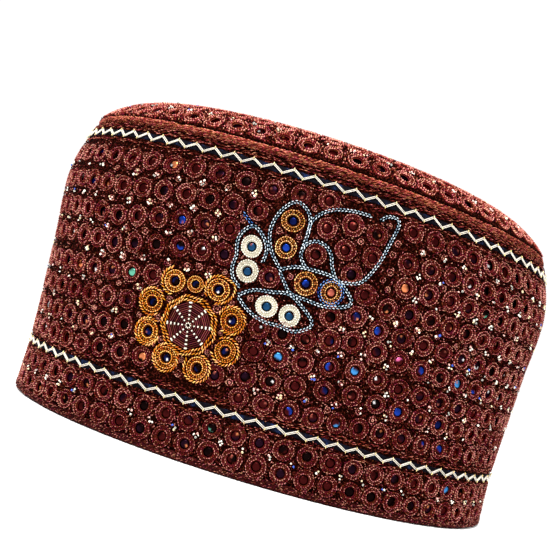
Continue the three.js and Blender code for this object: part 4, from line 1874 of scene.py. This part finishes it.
@dataclass
class Flower(Sewing):
    """The flower: a woven wheel with beaded spokes, a corded rim, and petals of gold rings."""

    form: CapForm
    hub: Place = (-30.1, 43.0)
    wheel: float = 7.75  # radius of the woven wheel
    rounds: int = 11  # rounds of thread in it
    round_shares: Shares = (0.1, 0.35, 0.65, 0.9)
    spokes: int = 8
    spoke_turn: float = 8.6  # turn of the first spoke, in degrees
    spoke_beads: int = 6  # white stitches on a spoke
    bead_widths: Place = (0.2, 0.64)  # half lengths of the innermost and the outermost
    bead_shares: Shares = (0.15, 0.85)
    rims: Place = (8.3, 9.4)  # radii of the two cords of the rim
    petals: tuple[Petal, ...] = (
        Petal(-38.8, 55.6, first=-10.0),
        Petal(-31.4, 56.5, radius=3.0, first=0.0, last=0.0),
        Petal(-23.4, 56.9, first=-150.0, last=150.0),
        Petal(-16.6, 48.7), Petal(-15.9, 38.6), Petal(-23.6, 30.6),
        Petal(-35.0, 30.8), Petal(-43.8, 37.2), Petal(-45.0, 47.0),
    )
    rope: RopeStitch = RopeStitch(
        step=1.15, reach=1.6, width=0.5, strand=0.24, rise=1.05, seat=0.2, core=0.6, tones=(0.45, 1.15),
    )
    scallop_reach: float = 0.55  # distance of the cord round a petal from its ring
    eye_petal: int = 3  # number of the petal whose cord goes all round it to a point
    eye_turn: float = 17.0  # direction of that point, in degrees
    eye_reach: float = 1.3  # how far the point stands out
    filled: tuple[float, ...] = (2.0, 4.0, 6.0, 8.3)  # radii that nothing else is sewn on
    seed: int = 101

    def rings(self) -> Array:
        """Places of the petals' rings."""
        return np.array([(petal.along, petal.height) for petal in self.petals])

    def sequin_tints(self) -> list[TintPair]:
        """The two tints of the sequin in each of those rings."""
        return [(SequinTint.NAVY, SequinTint.DARK)] * len(self.petals)

    def lines(self) -> Array:
        """Places along the wheel's rim and inside it."""
        angles = np.linspace(0.0, FULL_TURN, 48, endpoint=False)
        return np.concatenate([self.hub + around(radius, angles) for radius in self.filled])

    def build(self) -> None:
        """Builds the wheel, its spokes, the rim, the petals and the cords round them."""
        self._wheel()
        self._spokes()
        self._rim()
        full = max(petal.radius for petal in self.petals)
        for number, petal in enumerate(self.petals, 1):
            piece = self.one_ring(GOLD_RING, (petal.along, petal.height), petal.radius / full)
            piece.build(f"flower_petal_ring_{number}", GOLD, f"flower_petal_{number}")
        self._scallops()

    def _at_spokes(self, radii: Array) -> Array:
        """Places (n, spokes, 2) on the spokes at distances from the hub."""
        turns = math.radians(self.spoke_turn) + FULL_TURN * np.arange(self.spokes) / self.spokes
        return around(radii[:, None], turns)

    def _wheel(self) -> None:
        """Builds the rounds of thread, straight from spoke to spoke."""
        start = self._at_spokes(self.wheel * (np.arange(self.rounds) + 0.9) / self.rounds)
        end = np.roll(start, -1, axis=1)
        overlap = 0.05 * (end - start)
        half = 0.38 * self.wheel / self.rounds
        shade = self.draws.uniform(0.4, 1.0, start.shape[:2])
        points, tones = stitches(start - overlap, end + overlap, half, 0.75, 0.2, shade, self.round_shares)
        piece = PieceMesh().sew(self.form.on_wall(points, self.hub), tones, self.round_shares)
        piece.build("flower_wheel_web", WHEEL, "flower_wheel")

    def _spokes(self) -> None:
        """Builds the white stitches across the spokes."""
        middle = self._at_spokes(self.wheel * (np.arange(self.spoke_beads) + 0.6) / (self.spoke_beads - 0.15))
        half = np.linspace(*self.bead_widths, self.spoke_beads)[:, None, None] * sideways(middle)
        shade = self.draws.uniform(0.75, 1.05, middle.shape[:2])
        points, tones = stitches(middle - half, middle + half, 0.33, 0.6, 0.7, shade, self.bead_shares)
        piece = PieceMesh().sew(self.form.on_wall(points, self.hub), tones, self.bead_shares)
        piece.build("flower_spokes", WHITE)

    def _cord(self, piece: PieceMesh, line: Array) -> None:
        """Adds a cord along a line to a piece."""
        points, tones = self.rope.along(line, self.draws)
        piece.sew(self.form.on_wall(points), tones, LONG_STITCH)

    def _rim(self) -> None:
        """Builds the corded rim round the wheel."""
        piece = PieceMesh()
        for radius in self.rims:
            count = round(FULL_TURN * radius / self.rope.step)
            angles = FULL_TURN * np.arange(count + 1) / count
            waver = 1 + 0.03 * np.sin(len(self.petals) * angles + radius)
            self._cord(piece, self.hub + around(radius * waver, angles))
        piece.build("flower_rim_cord", GOLD, "flower_rim")

    def _scallops(self) -> None:
        """Builds the cords that go round the petals and come back to the rim between them."""
        piece = PieceMesh()
        for number, petal in enumerate(self.petals, 1):
            if petal.first == petal.last:
                continue
            outward = math.atan2(petal.height - self.hub[1], petal.along - self.hub[0])
            turns = outward + np.radians(np.linspace(petal.first, petal.last, 9))
            reach = np.full(len(turns), petal.radius + self.scallop_reach)
            if number == self.eye_petal:
                reach += self.eye_reach * np.cos(turns - math.radians(self.eye_turn)).clip(0.0) ** 6
            corners = (petal.along, petal.height) + around(reach, turns)
            self._cord(piece, smooth_line(corners, self.rope.step))
        piece.build("flower_scallop_cord", GOLD)


@dataclass
class Butterfly(Sewing):
    """The butterfly: white and tan rings inside chain-stitched outlines."""

    form: CapForm
    white_rings: Line = ((-16.6, 73.3), (-15.9, 65.4), (-6.9, 56.4), (1.0, 55.7))
    tan_rings: Line = ((-6.2, 85.0), (-6.0, 76.2), (3.2, 67.1), (11.7, 66.8))
    body: Line = (
        (-11.9, 69.2), (-11.6, 73.5), (-13.6, 77.2), (-17.7, 79.7), (-21.0, 76.2), (-21.3, 72.6),
        (-20.6, 69.4), (-21.0, 65.6), (-19.8, 62.0), (-16.9, 59.9),
    )
    wings: tuple[Line, ...] = (
        ((-0.9, 77.0), (-0.6, 84.4), (-1.8, 88.6), (-6.4, 91.4), (-10.4, 87.4), (-12.2, 80.0),
         (-10.0, 73.6), (-5.6, 68.8)),
        ((-0.7, 82.4), (-0.3, 87.0), (3.9, 91.7), (11.0, 94.0), (17.5, 94.4)),
        ((20.7, 93.9), (23.2, 96.2), (27.0, 96.1), (25.4, 87.5), (23.3, 79.5), (19.6, 72.6), (14.0, 70.8)),
        ((1.8, 71.7), (-0.8, 75.0), (-0.4, 78.6), (2.1, 80.8), (5.6, 80.6), (8.3, 78.2), (9.4, 75.2),
         (11.8, 71.2)),
        ((-6.0, 68.9), (-1.4, 71.2), (5.0, 71.9), (12.2, 71.3), (19.0, 65.4), (12.2, 62.1), (5.0, 62.1),
         (-1.0, 62.8), (-3.6, 65.6), (-5.9, 68.3)),
        ((-16.8, 57.2), (-12.4, 60.2), (-6.5, 61.3), (-1.2, 62.3), (2.8, 60.5), (8.8, 55.1), (3.6, 51.2),
         (-1.2, 51.6), (-6.8, 51.5), (-12.6, 53.6), (-16.6, 56.7)),
    )
    antenna: Line = ((-17.7, 79.7), (-21.9, 82.7))
    chain: ChainStitch = ChainStitch()
    strand_tones: tuple[float, ...] = (1.15, 1.1, 1.0, 0.8, 0.5)  # tones that the outlines' strands take
    white_ring: RingStitch = RingStitch(
        outer=3.4, inner=2.05, outer_links=26, inner_links=20, bars=20, strand=0.36, bar=0.28, rise=1.1,
        bar_share=0.9, bar_shade=0.9, uneven=0.6, wall=1.65, bed=0.4, bed_tone=0.35,
    )
    tan_ring: RingStitch = replace(GOLD_RING, outer=3.55)
    blue_ring: int = 4  # number of the tan ring that has a blue line round it
    blue_reach: float = 3.85  # radius of that line
    seed: int = 113

    def rings(self) -> Array:
        """Places of the white and tan rings."""
        return np.array([*self.white_rings, *self.tan_rings])

    def sequin_tints(self) -> list[TintPair]:
        """The two tints of the sequin in each of those rings.

        Returns:
            Pairs of tints, the white rings' first.
        """
        tints = [(SequinTint.SLATE, SequinTint.SLATE)] * len(self.white_rings)
        tints += [(SequinTint.NAVY, SequinTint.BLUE)] * len(self.tan_rings)
        tints[len(self.white_rings) + self.blue_ring - 1] = (SequinTint.CLAY, SequinTint.CLAY)
        return tints

    def lines(self) -> Array:
        """Places along the outlines."""
        return np.concatenate([smooth_line(corners, 1.0) for corners in (self.body, *self.wings)])

    def build(self) -> None:
        """Builds the outlines and the rings."""
        self._outline("butterfly_body_chain", (self.body,), BLUE, "butterfly_body_outline")
        self._outline("butterfly_wing_chain", self.wings, BLUE, "butterfly_wing_outline")
        circle = self.tan_rings[self.blue_ring - 1] + around(self.blue_reach, np.linspace(0.0, FULL_TURN, 9))
        self._outline("butterfly_antenna_chain", (self.antenna, circle), DEEP_BLUE)
        for name, spots, ring, finish in (
            ("butterfly_white_ring", self.white_rings, self.white_ring, WHITE),
            ("butterfly_tan_ring", self.tan_rings, self.tan_ring, TAN),
        ):
            for number, spot in enumerate(spots, 1):
                self.one_ring(ring, spot).build(f"{name}_thread_{number}", finish, f"{name}_{number}")

    def _outline(self, name: str, lines: tuple[Line | Array, ...], finish: ThreadFinish, *nodes: str) -> None:
        """Builds outlines in thread that changes from stitch to stitch.

        Args:
            name: the piece's name.
            lines: corners of each line.
            finish: their thread.
            nodes: the CAD nodes that it stands for.
        """
        piece = PieceMesh()
        for corners in lines:
            line = smooth_line(corners, self.chain.link)
            size = (2, len(line) - 1)
            shade = self.draws.choice(self.strand_tones, size) + self.draws.uniform(-0.08, 0.08, size)
            points, tones = self.chain.shaded(line, shade)
            piece.sew(self.form.on_wall(points), tones, LONG_STITCH)
        piece.build(name, finish, *nodes)


@dataclass(frozen=True)
class Lamp:
    """A square lamp that faces the cap."""

    name: str
    place: Point  # in metres
    size: float  # width in metres
    power: float  # watts

    def build(self, aim: Vector) -> None:
        """Adds the lamp.

        Args:
            aim: the point that it faces, in metres.
        """
        data = bpy.data.lights.new(self.name, "AREA")
        data.size = self.size
        data.energy = self.power
        lamp = bpy.data.objects.new(self.name, data)
        lamp.location = self.place
        lamp.rotation_euler = (aim - lamp.location).to_track_quat("-Z", "Y").to_euler()
        bpy.context.scene.collection.objects.link(lamp)


@dataclass
class Studio:
    """White floor, soft light, and a camera at the photograph's angle."""

    floor: float = 12.0  # size of the floor in metres
    surroundings: float = 1.08  # brightness of the white all round
    lamps: tuple[Lamp, ...] = (
        Lamp("key_light", (-0.14, -0.6, 0.86), 0.45, 15.0),
        Lamp("fill_light", (-0.1, -0.9, 0.3), 0.6, 1.0),
    )
    aim: Point = (1.16, 0.0, 55.0)  # point that the camera faces
    distance: float = 317.92  # distance of the camera from it
    pitch: float = 0.7513  # how far the camera looks up, in degrees
    roll: float = 16.882  # how far it is turned about its view, in degrees
    focal: float = 773.19  # focal length in pixels of the picture
    picture: float = 560.0  # width of the picture in pixels
    centre: Place = (287.12, 320.44)  # pixel that the camera faces
    sensor: float = 36.0  # width of the camera's sensor

    def build(self) -> None:
        """Builds the floor, the lights and the camera."""
        self._floor()
        self._lights()
        self._camera()

    def _floor(self) -> None:
        """Builds the floor, a wide plane under the cap."""
        half = self.floor / 2
        mesh = bpy.data.meshes.new("studio_floor")
        corners = [(-half, -half, 0.0), (half, -half, 0.0), (half, half, 0.0), (-half, half, 0.0)]
        mesh.from_pydata(corners, [], [(0, 1, 2, 3)])
        mesh.materials.append(FloorFinish().material())
        floor = bpy.data.objects.new("studio_floor", mesh)
        bpy.context.scene.collection.objects.link(floor)

    def _lights(self) -> None:
        """Sets the white surroundings and the soft lamps."""
        scene = bpy.context.scene
        scene.world = bpy.data.worlds.new("studio_world")
        scene.world.use_nodes = True
        background = scene.world.node_tree.nodes["Background"]
        background.inputs["Color"].default_value = (1.0, 1.0, 1.0, 1.0)
        background.inputs["Strength"].default_value = self.surroundings
        scene.view_settings.view_transform = "Standard"
        for lamp in self.lamps:
            lamp.build(Vector(self.aim) * MM)

    def _camera(self) -> None:
        """Sets the camera from the photograph's focal length, roll and framing."""
        data = bpy.data.cameras.new("photo_camera")
        data.sensor_width = self.sensor
        data.lens = self.focal / self.picture * self.sensor
        data.shift_x = (self.picture / 2 - self.centre[0]) / self.picture
        data.shift_y = (self.centre[1] - self.picture / 2) / self.picture
        data.clip_start = 0.01
        pitch = math.radians(self.pitch)
        roll = math.radians(self.roll)
        view = Vector((0.0, math.cos(pitch), math.sin(pitch)))
        level_up = Vector((0.0, -math.sin(pitch), math.cos(pitch)))
        level_right = Vector((1.0, 0.0, 0.0))
        right = math.cos(roll) * level_right + math.sin(roll) * level_up
        up = -math.sin(roll) * level_right + math.cos(roll) * level_up
        place = (Vector(self.aim) - self.distance * view) * MM
        turn = Matrix((right, up, -view)).transposed().to_4x4()
        camera = bpy.data.objects.new("photo_camera", data)
        camera.matrix_world = Matrix.Translation(place) @ turn
        bpy.context.scene.collection.objects.link(camera)
        bpy.context.scene.camera = camera


def main() -> None:
    """Builds the cap's pieces in order, then the studio."""
    logging.basicConfig(level=logging.INFO, format="%(message)s")
    form = CapForm()
    flower = Flower(form)
    butterfly = Butterfly(form)
    rings = RingField(form)
    motif_rings = np.concatenate([flower.rings(), butterfly.rings()])
    motif_lines = np.concatenate([flower.lines(), butterfly.lines()])
    GroundCloth(form).build()
    CrownPiping(form).build()
    HemBinding(form).build()
    ZigzagLine(form, "lower_zigzag", height=19.6, teeth=75, swing=1.8).build()
    ZigzagLine(form, "upper_zigzag", height=100.3, teeth=74, swing=2.1, seed=73).build()
    RopeLines(form).build()
    rings.build()
    SequinField(form, rings, motif_rings, flower.sequin_tints() + butterfly.sequin_tints()).build()
    BeadField(form, rings, np.concatenate([motif_rings, motif_lines])).build()
    FillingStitches(form, rings, motif_rings, motif_lines).build()
    flower.build()
    butterfly.build()
    Studio().build()


if __name__ == "__main__":
    main()
